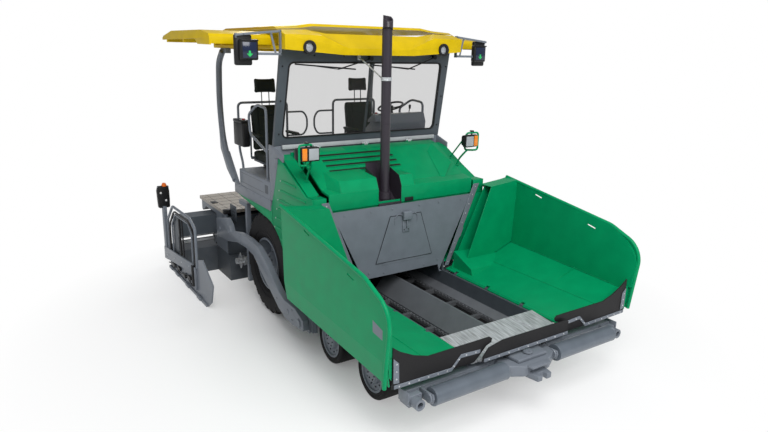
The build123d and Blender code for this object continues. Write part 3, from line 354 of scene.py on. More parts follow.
MATERIALS = {
    # green paint: its pale green edge tint is a painted highlight
    "green_paint": lambda name: coated(name, colour("green"), 0.36, 420, 0.04, coat=0.05,
                                       dust=0.03, bare=(0.2, 0.36, 0.28), wear_and_highlight_amount=0.2, shine=0.12),
    "grey_paint": lambda name: coated(name, colour("grey"), 0.4, 380, 0.06, coat=0.12,
                                      bare=(0.4, 0.42, 0.44), wear_and_highlight_amount=0.35),
    "pale_paint": lambda name: coated(name, (0.42, 0.44, 0.45), 0.42, 380, 0.06, coat=0.1,
                                      bare=(0.55, 0.56, 0.57), wear_and_highlight_amount=0.3),
    "dark_paint": lambda name: coated(name, colour("dark"), 0.42, 380, 0.06,
                                      bare=(0.25, 0.26, 0.28), wear_and_highlight_amount=0.3),
    "yellow_shell": lambda name: coated(name, colour("shell"), 0.36, 500, 0.03, coat=0.06,
                                        dust=0.0, shine=0.15),
    "tyre_rubber": lambda name: coated(name, (0.007, 0.0065, 0.0075), 0.72, 260, 0.2,
                                       dust=0.12, dust_height=0.25),
    "sheet_rubber": lambda name: coated(name, (0.01, 0.0095, 0.0105), 0.48, 300, 0.2,
                                        dust=0.08),
    "bare_steel": lambda name: scraped_steel(name, colour("steel"), 0.42),
    "roller_steel": lambda name: coated(name, (0.14, 0.165, 0.195), 0.3, 90, 0.06,
                                        metallic=0.35, coat=0.15, bare=(0.4, 0.42, 0.44),
                                        wear_and_highlight_amount=0.3),
    "slat_steel": lambda name: coated(name, (0.095, 0.1, 0.108), 0.38, 120, 0.2,
                                      metallic=0.3, bare=(0.4, 0.41, 0.43), wear_and_highlight_amount=0.6),
    # conveyor trough: near-black below 0.43 m is painted shade under the conveyor slats
    "trough_steel": lambda name: two_level(name, (0.006, 0.0055, 0.006), (0.15, 0.16, 0.175),
                                           0.43),
    "chrome_rod": lambda name: scraped_steel(name, (0.5, 0.51, 0.52), 0.2, (1.5, 60, 60)),
    "seat_cover": lambda name: coated(name, (0.007, 0.012, 0.009), 0.65, 900, 0.3, dust=0),
    "lamp_housing": lambda name: coated(name, (0.012, 0.012, 0.013), 0.35, 500, 0.1, dust=0),
    "black_enamel": lambda name: coated(name, (0.03, 0.024, 0.033), 0.36, 300, 0.08, coat=0.2,
                                        dust=0),
    "black_seal": lambda name: coated(name, (0.011, 0.011, 0.012), 0.5, 200, 0.1, dust=0),
    "cast_block": lambda name: coated(name, (0.05, 0.05, 0.052), 0.6, 140, 0.5, dust=0.2),
    "screen_glass": lambda name: lens(name, (0.006, 0.014, 0.045), 0.12),
    "clear_lens": lambda name: lens(name, (0.36, 0.38, 0.4), 0.16),
    "amber_lens": lambda name: lens(name, (0.85, 0.24, 0.01), 0.2),
    "arrow_green": lambda name: lens(name, (0.02, 0.5, 0.12), 0.3),
    "red_cap": lambda name: lens(name, (0.45, 0.012, 0.015), 0.3, 0.2),
    "orange_cone": lambda name: lens(name, (0.8, 0.16, 0.01), 0.4, 0.2),
    "white_dot": lambda name: lens(name, (0.78, 0.78, 0.78), 0.4, 0.2),
    "window_glass": clear_glass,
    "walk_grating": lambda name: grating(name, (0.5, 0.45, 0.39), 0.022),
}


def finish(name):
    """The material of that name, made the first time it is asked for."""
    return bpy.data.materials.get(name) or MATERIALS[name](name)


NODE_FINISH = {"conveyors": "slat_steel", "conveyor_trough": "trough_steel",
               "push_roller_left": "roller_steel", "push_roller_right": "roller_steel"}


def dress_frame():
    """Gives each CAD node the finish of its slot in the record.

    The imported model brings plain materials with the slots' names.
    """
    slots = {part["node"]: part["material_slot"] for part in frame["record"]["subparts"]}
    for node in frame["nodes"].values():
        node.data.materials.clear()
    for name in MATERIALS:
        plain = bpy.data.materials.get(name)
        if plain:
            bpy.data.materials.remove(plain)
    for name, node in frame["nodes"].items():
        node.data.materials.append(finish(NODE_FINISH.get(name, slots[name])))


# ------------------------------------------------------------------ modelling
MIRROR = Matrix.Scale(-1, 4, (1, 0, 0))
OUTLINE_AXES = {"x": (1, 2, 0), "y": (0, 2, 1), "z": (0, 1, 2)}


def deselect():
    """Leaves edit mode and selects nothing."""
    if bpy.context.object and bpy.context.object.mode != "OBJECT":
        bpy.ops.object.mode_set(mode="OBJECT")
    bpy.ops.object.select_all(action="DESELECT")


def take(*pieces):
    """Selects these pieces alone, with the first one active."""
    deselect()
    for piece in pieces:
        piece.select_set(True)
    bpy.context.view_layer.objects.active = pieces[0]


def edit_all(piece):
    """Opens a piece in edit mode with all of it selected."""
    take(piece)
    bpy.ops.object.mode_set(mode="EDIT")
    bpy.ops.mesh.select_mode(type="VERT")
    bpy.ops.mesh.select_all(action="SELECT")


def end_edit(round_by=0.0, segments=2, merge=False):
    """Merges doubles, turns faces outwards, rounds the edges and leaves edit mode."""
    if merge:
        bpy.ops.mesh.remove_doubles(threshold=1e-5)
    bpy.ops.mesh.normals_make_consistent(inside=False)
    if round_by:
        bpy.ops.mesh.bevel(offset=round_by, segments=segments, affect="EDGES",
                           clamp_overlap=True)
    bpy.ops.object.mode_set(mode="OBJECT")


def modified(piece, kind, **values):
    """Applies one modifier to a piece."""
    take(piece)
    modifier = piece.modifiers.new(kind.lower(), kind)
    for key, value in values.items():
        setattr(modifier, key, value)
    bpy.ops.object.modifier_apply(modifier=modifier.name)
    return piece


def block(name, low, high, round_by=0.004, segments=2):
    """A box between two corners with rounded edges; Y is counted from the rear axle."""
    deselect()
    bpy.ops.mesh.primitive_cube_add(size=1)
    piece = bpy.context.object
    piece.name = name
    for vertex in piece.data.vertices:
        share = [c + 0.5 for c in vertex.co]
        vertex.co = [a + s * (b - a) for a, b, s in zip(low, high, share)]
        vertex.co.y += AXLE_Y
    edit_all(piece)
    end_edit(round_by, segments)
    return piece


def plate(name, outline, axis, start, end, round_by=0.003, segments=2):
    """A flat outline pushed from start to end along an axis, with rounded edges."""
    deselect()
    bpy.ops.mesh.primitive_circle_add(vertices=len(outline), radius=1, fill_type="NGON")
    piece = bpy.context.object
    piece.name = name
    across, upward, along = OUTLINE_AXES[axis]
    for vertex, (a, b) in zip(piece.data.vertices, outline):
        place = [0, 0, 0]
        place[across], place[upward], place[along] = a, b, start
        place[1] += AXLE_Y
        vertex.co = place
    depth = [0, 0, 0]
    depth[along] = end - start
    edit_all(piece)
    bpy.ops.mesh.extrude_region_move(TRANSFORM_OT_translate={"value": depth})
    bpy.ops.mesh.select_all(action="SELECT")
    end_edit(round_by, segments)
    return piece


def turned(name, profile, centre, axis="x", steps=32):
    """A ring spun about an axis from a closed profile of (along, radius) points."""
    deselect()
    bpy.ops.mesh.primitive_circle_add(vertices=len(profile), radius=1, fill_type="NOTHING")
    piece = bpy.context.object
    piece.name = name
    line = Vector({"x": (1, 0, 0), "y": (0, 1, 0), "z": (0, 0, 1)}[axis])
    out = Vector((0, 0, 1)) if axis != "z" else Vector((1, 0, 0))
    middle = Vector(centre) + Vector((0, AXLE_Y, 0))
    for vertex, (along, radius) in zip(piece.data.vertices, profile):
        vertex.co = middle + line * along + out * radius
    edit_all(piece)
    bpy.ops.mesh.spin(steps=steps, angle=2 * pi, center=middle, axis=line)
    bpy.ops.mesh.select_all(action="SELECT")
    end_edit(merge=True)
    return piece


def rounded(points, bend):
    """A run of points whose corners are rounded off by arcs."""
    points = [Vector(p) for p in points]
    smooth = [points[0]]
    for before, corner, after in zip(points, points[1:], points[2:]):
        reach = min(bend, 0.45 * (before - corner).length, 0.45 * (after - corner).length)
        start = corner + (before - corner).normalized() * reach
        end = corner + (after - corner).normalized() * reach
        for i in range(BEND_STEPS + 1):
            t = i / BEND_STEPS
            smooth.append((1 - t) ** 2 * start + 2 * t * (1 - t) * corner + t * t * end)
    return smooth + [points[-1]]


def tube(name, points, radius, bend=0.0, closed=False, resolution=3):
    """A round tube along a run of points; Y is counted from the rear axle."""
    path = rounded(points, bend) if bend else [Vector(p) for p in points]
    curve = bpy.data.curves.new(name, "CURVE")
    curve.dimensions = "3D"
    curve.bevel_depth = radius
    curve.bevel_resolution = resolution
    curve.use_fill_caps = True
    spline = curve.splines.new("POLY")
    spline.points.add(len(path) - 1)
    for point, place in zip(spline.points, path):
        point.co = (place.x, place.y + AXLE_Y, place.z, 1)
    spline.use_cyclic_u = closed
    piece = bpy.data.objects.new(name, curve)
    bpy.context.scene.collection.objects.link(piece)
    take(piece)
    bpy.ops.object.convert(target="MESH")
    return bpy.context.object


def copy_of(piece, name, matrix):
    """A copy with its own mesh, moved by a matrix and turned right side out."""
    new = piece.copy()
    new.data = piece.data.copy()
    new.name = name
    new.data.transform(matrix)
    if matrix.determinant() < 0:
        new.data.flip_normals()
    bpy.context.scene.collection.objects.link(new)
    return new


def joined(name, pieces):
    """Several pieces made one."""
    take(*pieces)
    if len(pieces) > 1:
        bpy.ops.object.join()
    piece = bpy.context.object
    piece.name = name
    return piece


def dressed(piece, look, body="chassis", smooth=32):
    """Gives a piece its finish and the body that it rides on."""
    piece.data.materials.clear()
    piece.data.materials.append(finish(look))
    take(piece)
    bpy.ops.object.shade_smooth_by_angle(angle=radians(smooth))
    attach(piece, body)
    return piece


def pair(piece, look, body="chassis", smooth=32):
    """Dresses a left piece and its mirrored copy on the right side."""
    other = copy_of(piece, piece.name.replace("left", "right"), MIRROR)
    dressed(piece, look, body.format(side="left"), smooth)
    dressed(other, look, body.format(side="right"), smooth)
    return piece, other


def heads(name, places, axis, radius=0.011, height=0.008, sides=6):
    """Bolt heads at (x, y, z) places, standing out along an axis."""
    deselect()
    bpy.ops.mesh.primitive_cylinder_add(vertices=sides, radius=radius, depth=height)
    model = bpy.context.object
    edit_all(model)
    end_edit(radius * 0.16, 1)
    turn = Vector((0, 0, 1)).rotation_difference(Vector(axis)).to_matrix().to_4x4()
    made = [copy_of(model, name, Matrix.Translation(Vector(p) + Vector((0, AXLE_Y, 0))) @ turn)
            for p in places]
    bpy.data.objects.remove(model)
    return joined(name, made)


def softened(node, width):
    """A copy of a CAD node, merged and with rounded edges, that stands for the node."""
    source = frame["nodes"][node]
    piece = bpy.data.objects.new(node + "_skin", source.data.copy())
    bpy.context.scene.collection.objects.link(piece)
    edit_all(piece)
    bpy.ops.mesh.remove_doubles(threshold=1e-5)
    bpy.ops.mesh.dissolve_limited(angle_limit=radians(0.2))
    bpy.ops.mesh.select_all(action="SELECT")
    bpy.ops.object.mode_set(mode="OBJECT")
    modified(piece, "BEVEL", width=width, segments=3, limit_method="ANGLE",
             angle_limit=radians(SOFT_ANGLE), use_clamp_overlap=True, harden_normals=False,
             miter_outer="MITER_ARC")
    slots = {part["node"]: part["material_slot"] for part in frame["record"]["subparts"]}
    bodies = {n: b for b, names in frame["record"]["behaviour"]["bodies"].items() for n in names}
    dressed(piece, slots[node], bodies[node], SOFT_ANGLE)
    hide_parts(node)
    return piece


# ------------------------------------------------------------------ wheels
TYRE_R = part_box("rear_tyre_left")[1].z / 2
TYRE_X = (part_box("rear_tyre_left")[0].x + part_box("rear_tyre_left")[1].x) / 2
SMALL_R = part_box("front_tyre_1_left")[1].z / 2
SMALL_X = (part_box("front_tyre_1_left")[0].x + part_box("front_tyre_1_left")[1].x) / 2
SMALL_Y = [(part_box("front_tyre_%d_left" % n)[0].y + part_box("front_tyre_%d_left" % n)[1].y) / 2
           - AXLE_Y for n in (1, 2)]


def about_axle(angle):
    """A turn about the rear axle, which lies along X."""
    place = Vector((0, AXLE_Y, TYRE_R))
    return Matrix.Translation(place) @ Matrix.Rotation(angle, 4, "X") @ Matrix.Translation(-place)


def tyre_lug(side_sign, slant):
    """One tread lug from the middle of the tyre round its shoulder."""
    r, s = TYRE_R, side_sign
    outline = [(0.008, r - 0.032), (0.008, r - 0.001), (0.118, r - 0.002), (0.152, r - 0.01),
               (0.181, r - 0.052), (0.1864, r - 0.112), (0.176, r - 0.118), (0.145, r - 0.05)]
    lug = plate("lug", [(s * a, b) for a, b in outline], "y", -0.033, 0.033, 0.004, 1)
    for vertex in lug.data.vertices:
        reach = abs(vertex.co.x)
        vertex.co.y += slant * reach + (0.012 if vertex.co.y > AXLE_Y else -0.012) * reach / 0.18
        vertex.co.x += TYRE_X
        vertex.co.z += TYRE_R
    return lug


def rear_tyres():
    """Rear tyres with a round carcass and two staggered rows of slanted tread lugs."""
    r = TYRE_R
    base = r - size("tread_depth")
    half = [(0.15, 0.352), (0.166, 0.372), (0.178, 0.42), (0.1866, 0.5), (0.186, 0.56),
            (0.18, base - 0.05), (0.155, base - 0.014), (0.08, base - 0.002), (0, base)]
    outer = [(-a, b) for a, b in half] + half[-2::-1]
    inner = [(0.11, 0.36), (0.11, 0.4), (0, 0.43), (-0.11, 0.4), (-0.11, 0.36)]
    parts = [turned("carcass", outer + inner, (TYRE_X, 0, r), steps=72)]
    for ring in (0.395, 0.452):
        x = 0.1725 if ring < 0.42 else 0.1815
        parts.append(turned("ridge", [(x, ring - 0.004), (x + 0.005, ring), (x, ring + 0.004)],
                            (TYRE_X, 0, r), steps=72))
    count = size("lug_count")
    pitch = 2 * pi / count
    for sign, shift in ((1, 0.0), (-1, 0.5)):
        lug = tyre_lug(sign, 0.42)
        parts += [copy_of(lug, "lug", about_axle((i + shift) * pitch))
                  for i in range(count)]
        bpy.data.objects.remove(lug)
    tyre = joined("rear_tyre_tread_left", parts)
    for piece, side in zip(pair(tyre, "tyre_rubber", "rear_wheel_{side}", 24),
                           ("left", "right")):
        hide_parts("rear_tyre_" + side)


def front_tyres():
    """Solid rubber front tyres with rounded shoulders and a shallow side step."""
    r = SMALL_R
    half = [(0.14, 0.197), (0.148, 0.206), (0.149, 0.214), (0.143, 0.219), (0.143, 0.232),
            (0.1485, 0.238), (0.149, r - 0.026), (0.142, r - 0.01), (0.128, r - 0.002),
            (0.09, r), (0.0, r)]
    profile = [(-a, b) for a, b in half] + half[-2::-1]
    model = turned("front_tyre", profile, (SMALL_X, 0, r), steps=64)
    for n, y in enumerate(SMALL_Y, 1):
        tyre = copy_of(model, "front_tyre_solid_%d_left" % n, Matrix.Translation((0, y, 0)))
        for piece, side in zip(pair(tyre, "tyre_rubber", "front_wheel_%d_{side}" % n, 24),
                               ("left", "right")):
            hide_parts("front_tyre_%d_%s" % (n, side))
    bpy.data.objects.remove(model)


def ring_of(count, radius, x, y, z):
    """Places on a circle about an axle."""
    return [(x, y + radius * cos(2 * pi * i / count), z + radius * sin(2 * pi * i / count))
            for i in range(count)]


def wheel_bolts():
    """Wheel nuts and hub screws of the rear and front wheels."""
    rear = heads("rear_wheel_nuts_left",
                 ring_of(20, 0.211, TYRE_X - 0.032, 0, TYRE_R)
                 + ring_of(8, 0.092, TYRE_X + 0.128, 0, TYRE_R), (1, 0, 0), 0.014, 0.02)
    pair(rear, "dark_paint", "rear_wheel_{side}")
    for n, y in enumerate(SMALL_Y, 1):
        nuts = heads("front_wheel_nuts_%d_left" % n,
                     ring_of(10, 0.137, SMALL_X + 0.119, y, SMALL_R)
                     + ring_of(6, 0.058, SMALL_X + 0.15, y, SMALL_R), (1, 0, 0), 0.0095, 0.014)
        pair(nuts, "dark_paint", "front_wheel_%d_{side}" % n)


# ------------------------------------------------------------------ seats
SEAT_X = 0.76


def inflated(piece, cap, pressure):
    """Swells a closed pad a little under inner pressure, as stuffed cloth does."""
    modified(piece, "REMESH", mode="VOXEL", voxel_size=0.011)
    before = [vertex.co.copy() for vertex in piece.data.vertices]
    take(piece)
    cloth = piece.modifiers.new("cloth", "CLOTH")
    cloth.settings.use_pressure = True
    cloth.settings.uniform_pressure_force = pressure
    cloth.settings.effector_weights.gravity = 0
    cloth.settings.tension_stiffness = 15
    cloth.settings.quality = 5
    cloth.point_cache.frame_start, cloth.point_cache.frame_end = 1, 16
    for number in range(1, 17):
        bpy.context.scene.frame_set(number)
    bpy.ops.object.modifier_apply(modifier="cloth")
    bpy.context.scene.frame_set(1)
    for vertex, old in zip(piece.data.vertices, before):
        move = vertex.co - old
        if move.length > cap:
            vertex.co = old + move.normalized() * cap
    return piece


def channel(piece, low, high, axis, at, depth):
    """Presses a sewn channel into a pad where a plane meets its surface."""
    axis = "xyz".index(axis)
    for vertex in piece.data.vertices:
        off = abs(vertex.co[axis] - at)
        inside = all(a <= c <= b for a, c, b in zip(low, vertex.co, high))
        if off < CHANNEL_WIDTH and inside:
            vertex.co -= vertex.normal * depth * (1 - (off / CHANNEL_WIDTH) ** 2)


def pad(name, outline, x0, x1):
    """A stuffed pad from its side outline, softly rounded and swollen."""
    piece = plate(name, outline, "x", x0, x1, 0.028, 3)
    inflated(piece, size("seat_swell"), PAD_PRESSURE)
    modified(piece, "SMOOTH", factor=0.5, iterations=3)
    return piece


def seats():
    """Operator seats: padded cushion, back and headrest, arm pads and bellows."""
    x = SEAT_X
    cushion = pad("seat_cushion_left", [(0.49, 1.925), (0.98, 1.915), (0.98, 2.035),
                                        (0.52, 2.045), (0.485, 2.01)], x - 0.24, x + 0.24)
    back = pad("seat_back_left", [(0.915, 2.035), (1.0, 2.05), (1.078, 2.58), (1.055, 2.68),
                                  (0.99, 2.685), (0.962, 2.58)], x - 0.235, x + 0.235)
    head = pad("seat_headrest_left", [(1.005, 2.835), (1.068, 2.835), (1.08, 3.04),
                                      (1.03, 3.04)], x - 0.165, x + 0.165)
    arm = plate("arm_pad", [(0.56, 2.274), (0.95, 2.274), (0.95, 2.31), (0.6, 2.318),
                            (0.56, 2.3)], "x", x + 0.252, x + 0.306, 0.012, 3)
    arms = joined("seat_arm_pads_left", [arm, copy_of(arm, "arm_pad", Matrix.Translation(
        (-0.558, 0, 0)))])
    for piece in (cushion, back):
        lo, hi = (x - 0.3, AXLE_Y, 1.9), (x + 0.3, AXLE_Y + 1.2, 2.8)
        for side_x in (x - 0.145, x + 0.145):
            channel(piece, lo, hi, "x", side_x, 0.01)
    channel(cushion, (x - 0.145, AXLE_Y, 1.98), (x + 0.145, AXLE_Y + 1, 2.2), "y",
            AXLE_Y + 0.72, 0.006)
    channel(back, (x - 0.145, AXLE_Y, 2.1), (x + 0.145, AXLE_Y + 1.2, 2.8), "z", 2.32, 0.006)
    channel(back, (x - 0.145, AXLE_Y, 2.1), (x + 0.145, AXLE_Y + 1.2, 2.8), "z", 2.52, 0.006)
    made = []
    for piece, fill in ((cushion, 0.8), (back, 0.8), (head, 0.85), (arms, 0.9)):
        both = pair(piece, "seat_cover")
        made += both
    frame_parts = [block("pan", (x - 0.23, 0.5, 1.895), (x + 0.23, 0.97, 1.928), 0.01),
                   block("foot", (x - 0.15, 0.56, 1.578), (x + 0.15, 0.88, 1.63), 0.008),
                   block("rail", (x - 0.16, 0.54, 1.86), (x + 0.16, 0.92, 1.9), 0.006)]
    for sx in (x - 0.279, x + 0.279):
        frame_parts.append(tube("arm_stay", [(sx, 0.93, 1.96), (sx, 0.93, 2.28)], 0.013))
        frame_parts.append(block("arm_root", (min(sx, x) if sx < x else x + 0.2, 0.9, 1.93),
                                 (max(sx, x) if sx > x else x - 0.2, 0.96, 1.965), 0.006))
    for sx in (x - 0.055, x + 0.055):
        frame_parts.append(tube("head_rod", [(sx, 1.03, 2.64), (sx, 1.04, 2.86)], 0.007))
    pair(joined("seat_frame_left", frame_parts), "dark_paint")
    bellows = []
    for i in range(BELLOWS_FOLDS):
        z = 1.63 + i * FOLD_PITCH
        bellows.append(block("fold", (x - 0.14, 0.575, z), (x + 0.14, 0.865, z + 0.044),
                             0.018, 3))
    pair(joined("seat_bellows_left", bellows), "sheet_rubber")
    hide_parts("seats")


# ------------------------------------------------------------------ body panels
def soft_panels():
    """Panels of the machine whose bent edges are rounded."""
    for node, width in (("roof", 0.01), ("roof_flap_left", 0.006), ("roof_flap_right", 0.006)):
        softened(node, width)


# ------------------------------------------------------------------ shared helpers
def panel(name, corners, depth, round_by=0.002):
    """A flat plate from its corners, given a thickness square to its face."""
    deselect()
    bpy.ops.mesh.primitive_circle_add(vertices=len(corners), radius=1, fill_type="NGON")
    piece = bpy.context.object
    piece.name = name
    corners = [Vector(corner) for corner in corners]
    for vertex, corner in zip(piece.data.vertices, corners):
        vertex.co = corner + Vector((0, AXLE_Y, 0))
    normal = (corners[1] - corners[0]).cross(corners[2] - corners[1]).normalized()
    edit_all(piece)
    bpy.ops.mesh.extrude_region_move(TRANSFORM_OT_translate={"value": normal * depth})
    bpy.ops.mesh.select_all(action="SELECT")
    end_edit(round_by, 1)
    return piece


SURFACES = {}


def first_hit(node, start, way):
    """Where a ray first meets a CAD node; Y is counted from the axle."""
    if node not in SURFACES:
        mesh = frame["nodes"][node].data
        SURFACES[node] = BVHTree.FromPolygons([v.co for v in mesh.vertices],
                                              [p.vertices for p in mesh.polygons])
    place, _, _, _ = SURFACES[node].ray_cast(Vector(start) + Vector((0, AXLE_Y, 0)),
                                             Vector(way))
    if place is None:
        raise RuntimeError("nothing of %s from %s" % (node, start))
    return place - Vector((0, AXLE_Y, 0))


def cowl_top(x, y):
    """Height of the cowl's upper surface over (x, y)."""
    return first_hit("nose_cowl", (x, y, ABOVE_ALL_Z), (0, 0, -1)).z


# ------------------------------------------------------------------ hood
def hood_skin():
    """Lid of the engine hood with its sloping face and the two raised blocks."""
    low = [(-0.475, 2.227), (-0.615, 2.195), (-1.205, 1.872), (-1.365, 1.85), (-1.365, 1.69)]
    top = [(-1.378, 1.69), (-1.378, 1.88), (-1.2, 1.905), (-0.62, 2.225), (-0.475, 2.257)]
    parts = [plate("hood_skin", top + low, "x", x0, x1, 0.003, 2)
             for x0, x1 in ((-1.045, -0.385), (-0.06, 1.045))]
    parts.append(plate("bridge", [(-1.06, 1.982), (-0.62, 2.225), (-0.475, 2.257),
                                  (-0.475, 2.227), (-0.615, 2.195), (-1.06, 1.952)], "x",
                       -0.386, -0.059, 0.001, 1))
    for x0, x1, y in ((-0.885, -0.386, -0.945), (-0.059, 0.13, -1.02)):
        z = 1.905 + (y + 1.2) * 0.5517
        parts.append(plate("raised", [(-1.379, 1.878), (-1.318, 2.008), (y, z + 0.004),
                                      (y - 0.03, z - 0.03), (-1.2, 1.895)], "x", x0, x1,
                           0.004, 1))
    outer = panel("slant", [(-0.886, -1.376, 1.88), (-0.884, -1.318, 2.005),
                            (-0.884, -0.948, 2.046), (-0.99, -1.26, 1.874)], 0.004, 0.001)
    ridge = panel("ridge", [(0.784, -0.753, 2.15), (0.641, -1.29, 1.858),
                            (0.96, -1.05, 2.035), (0.949, -0.618, 2.226)], 0.005, 0.001)
    lid = dressed(joined("hood_skin", parts + [outer, ridge]), "green_paint", "hood")
    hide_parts("hood_lid")


def hood_louvres():
    """Black panels over the louvre slots of the hood's lid, as painted shade of the openings, with
    green lips between them.
    """
    def strip(name, y0, y1, raised, depth):
        z0, z1 = (1.905 + (y + 1.2) * 0.5517 + raised for y in (y0, y1))
        return panel(name, [(-0.8, y0, z0), (0.22, y0, z0), (0.22, y1, z1), (-0.8, y1, z1)],
                     depth, 0.001)

    strips, lips = [], []
    for y in (-0.957, -0.869, -0.781, -0.694):
        # black panel over each slot: painted shade of the louvre opening
        strips.append(strip("strip", y, y + 0.034, 0.0015, 0.002))
        lips.append(strip("lip", y - 0.008, y, 0.001, 0.008))
    dressed(joined("hood_louvre_strips", strips), "black_seal", "hood")
    dressed(joined("hood_louvre_lips", lips), "green_paint", "hood")


def hood_hinges():
    """Bright hinge clips of the lid and the light strip under the windshield."""
    parts = []
    for x in (-0.7, 0.0, 0.7):
        parts.append(block("clip", (x - 0.05, -0.452, 2.262), (x + 0.05, -0.43, 2.292), 0.006))
        parts.append(turned("barrel", [(-0.024, 0.004), (0.024, 0.004), (0.024, 0.015),
                                       (-0.024, 0.015)], (x, -0.452, 2.262), steps=16))
    dressed(joined("hood_hinge_clips", parts), "bare_steel")
    strip = block("screen_sill_strip", (-1.16, -0.41, 2.262), (1.16, -0.385, 2.314), 0.004)
    dressed(strip, "pale_paint")


def hood_front():
    """Black trough behind the pipe, handle slot and the cowl's front corners."""
    front = [(-1.072, 2.14), (-1.086, 1.95), (-1.12, 1.803), (-1.25, 1.7), (-1.372, 1.685)]
    back = [(y + 0.007, z - 0.008) for y, z in reversed(front)]
    trough = plate("pipe_trough", front + back, "x", -0.382, -0.063, 0.001, 1)
    dressed(trough, "black_enamel")
    lining = [plate("lining", [(-1.374, 1.7), (-1.075, 1.7), (-1.075, 2.09), (-1.316, 2.008),
                               (-1.374, 1.89)], "x", x, x + 0.004, 0.001, 1)
              for x in (-0.3865, -0.0625)]
    dressed(joined("pipe_trough_linings", lining), "black_enamel", "hood")
    foot = block("pipe_trough_foot", (-0.384, -1.3865, 1.668), (-0.062, -1.374, 1.702), 0.002)
    dressed(foot, "black_enamel")
    # black block over the handle slot: painted shade of the opening
    slot = block("handle_slot", (-0.012, -1.392, 1.69), (0.111, -1.376, 1.738), 0.005)
    dressed(slot, "black_seal")
    pair(block("cowl_corner_left", (1.077, -1.3765, 1.674), (1.233, -1.358, 1.846), 0.003),
         "green_paint")
    places = [(1.105, -1.245, cowl_top(1.105, -1.245))]
    pair(heads("cowl_screw_left", places, (0, -0.45, 0.9), 0.014, 0.006, 16), "black_seal")


# ------------------------------------------------------------------ windshield
SCREEN_LOW = (-0.345, 2.3)
SCREEN_HIGH = (-0.562, 3.439)


def on_screen(x, z, ahead=0.028):
    """A place on the windshield's plane, a little in front of it."""
    share = (z - SCREEN_LOW[1]) / (SCREEN_HIGH[1] - SCREEN_LOW[1])
    y = SCREEN_LOW[0] + share * (SCREEN_HIGH[0] - SCREEN_LOW[0])
    return (x, y - ahead, z)


def windshield_gasket():
    """Rubber gasket round the windshield's pane."""
    low, high, low_x, high_x = 2.402, 3.293, 1.151, 1.115
    ring = [on_screen(x, z, 0.027) for x, z in
            ((-low_x, low), (low_x, low), (high_x, high), (-high_x, high))]
    mid = [on_screen(0, low, 0.027)]
    path = mid + ring[1:] + [ring[0]] + mid
    dressed(tube("windshield_gasket", path, 0.01, 0.07), "black_seal")
    post = panel("windshield_middle_post",
                 [on_screen(0.03, low, -0.03), on_screen(0.03, high, -0.03),
                  on_screen(0.064, high, -0.03), on_screen(0.064, low, -0.03)], 0.012)
    dressed(post, "dark_paint")


def wiper(name, pivot, elbow, blade):
    """A wiper: motor cap, arm and blade on the pane."""
    (px, pz), (ex, ez), ((ax, az), (bx, bz)) = pivot, elbow, blade
    parts = [turned("cap", [(-0.03, 0.003), (0.012, 0.003), (0.012, 0.024), (-0.03, 0.028)],
                    on_screen(px, pz, 0.045), "y", 20),
             tube("arm", [on_screen(px, pz, 0.062), on_screen((px + ex) / 2, (pz + ez) / 2,
                                                              0.068),
                          on_screen(ex, ez, 0.052)], 0.008),
             tube("blade", [on_screen(ax, az, 0.038), on_screen((ax + bx) / 2, (az + bz) / 2,
                                                                0.042),
                            on_screen(bx, bz, 0.038)], 0.009)]
    for share in (0.2, 0.8):
        x, z = ax + (bx - ax) * share, az + (bz - az) * share
        parts.append(tube("claw", [on_screen(ex, ez, 0.05), on_screen(x, z, 0.044)], 0.005))
    dressed(joined(name, parts), "black_seal")


def wipers():
    """Two wipers hung from the windshield frame's upper edge."""
    wiper("wiper_right", (-0.03, 3.347), (-0.476, 3.217), ((-1.049, 3.275), (-0.224, 3.216)))
    wiper("wiper_left", (0.961, 3.372), (0.554, 3.216), ((0.031, 3.266), (0.68, 3.216)))


def screen_bolts():
    """Bolts of the windshield's frame."""
    places = [on_screen(s * 1.2, z, 0.031) for s in (-1, 1) for z in (2.45, 2.85, 3.25)]
    places += [on_screen(x, 3.375, 0.031) for x in (-0.8, -0.4, 0.4)]
    dressed(heads("windshield_frame_bolts", places, (0, -0.98, 0.18), 0.01, 0.008),
            "black_seal")


# ------------------------------------------------------------------ exhaust
def exhaust_stay():
    """Bright stay and clamp that hold the exhaust pipe to the windshield's frame."""
    x, y = -0.2, -1.213
    clamp = turned("clamp", [(-0.02, 0.0585), (0.02, 0.0585), (0.02, 0.064), (-0.02, 0.064)],
                   (x, y, 3.13), "z", 36)
    lugs = block("clamp_lug", (x - 0.012, y + 0.058, 3.11), (x + 0.012, y + 0.1, 3.15), 0.003)
    rod = tube("stay", [(x, y + 0.085, 3.13), (x, -0.66, 3.335), (x, -0.585, 3.352)], 0.009,
               0.05)
    foot = block("stay_foot", (x - 0.02, -0.605, 3.325), (x + 0.02, -0.577, 3.385), 0.004)
    dressed(joined("exhaust_stay", [clamp, lugs, rod, foot]), "bare_steel")
    seams = [turned("seam", [(-0.006, 0.0585), (0.006, 0.0585), (0.004, 0.0605),
                             (-0.004, 0.0605)], (x, y, z), "z", 36) for z in (1.8, 2.62)]
    collar = turned("collar", [(-0.05, 0.05), (0.03, 0.05), (0.03, 0.074), (-0.05, 0.086)],
                    (x, y, 1.77), "z", 36)
    dressed(joined("exhaust_seams", seams + [collar]), "black_enamel")


# ------------------------------------------------------------------ roof
def roof_lamps():
    """Round work lamps in the roof's visor."""
    for side, sign in SIDES:
        centre = (sign * 0.965, -0.745, 3.465)
        shell = turned("roof_lamp_" + side, [(-0.055, 0.052), (-0.055, 0.079), (-0.035, 0.08),
                                             (0.03, 0.07), (0.03, 0.004), (0.026, 0.004),
                                             (-0.02, 0.052)], centre, "y", 32)
        dressed(shell, "lamp_housing")
        face = turned("roof_lamp_lens_" + side, [(-0.034, 0.002), (-0.032, 0.03),
                                                 (-0.026, 0.051), (-0.018, 0.051),
                                                 (-0.018, 0.002)], centre, "y", 32)
        dressed(face, "clear_lens")


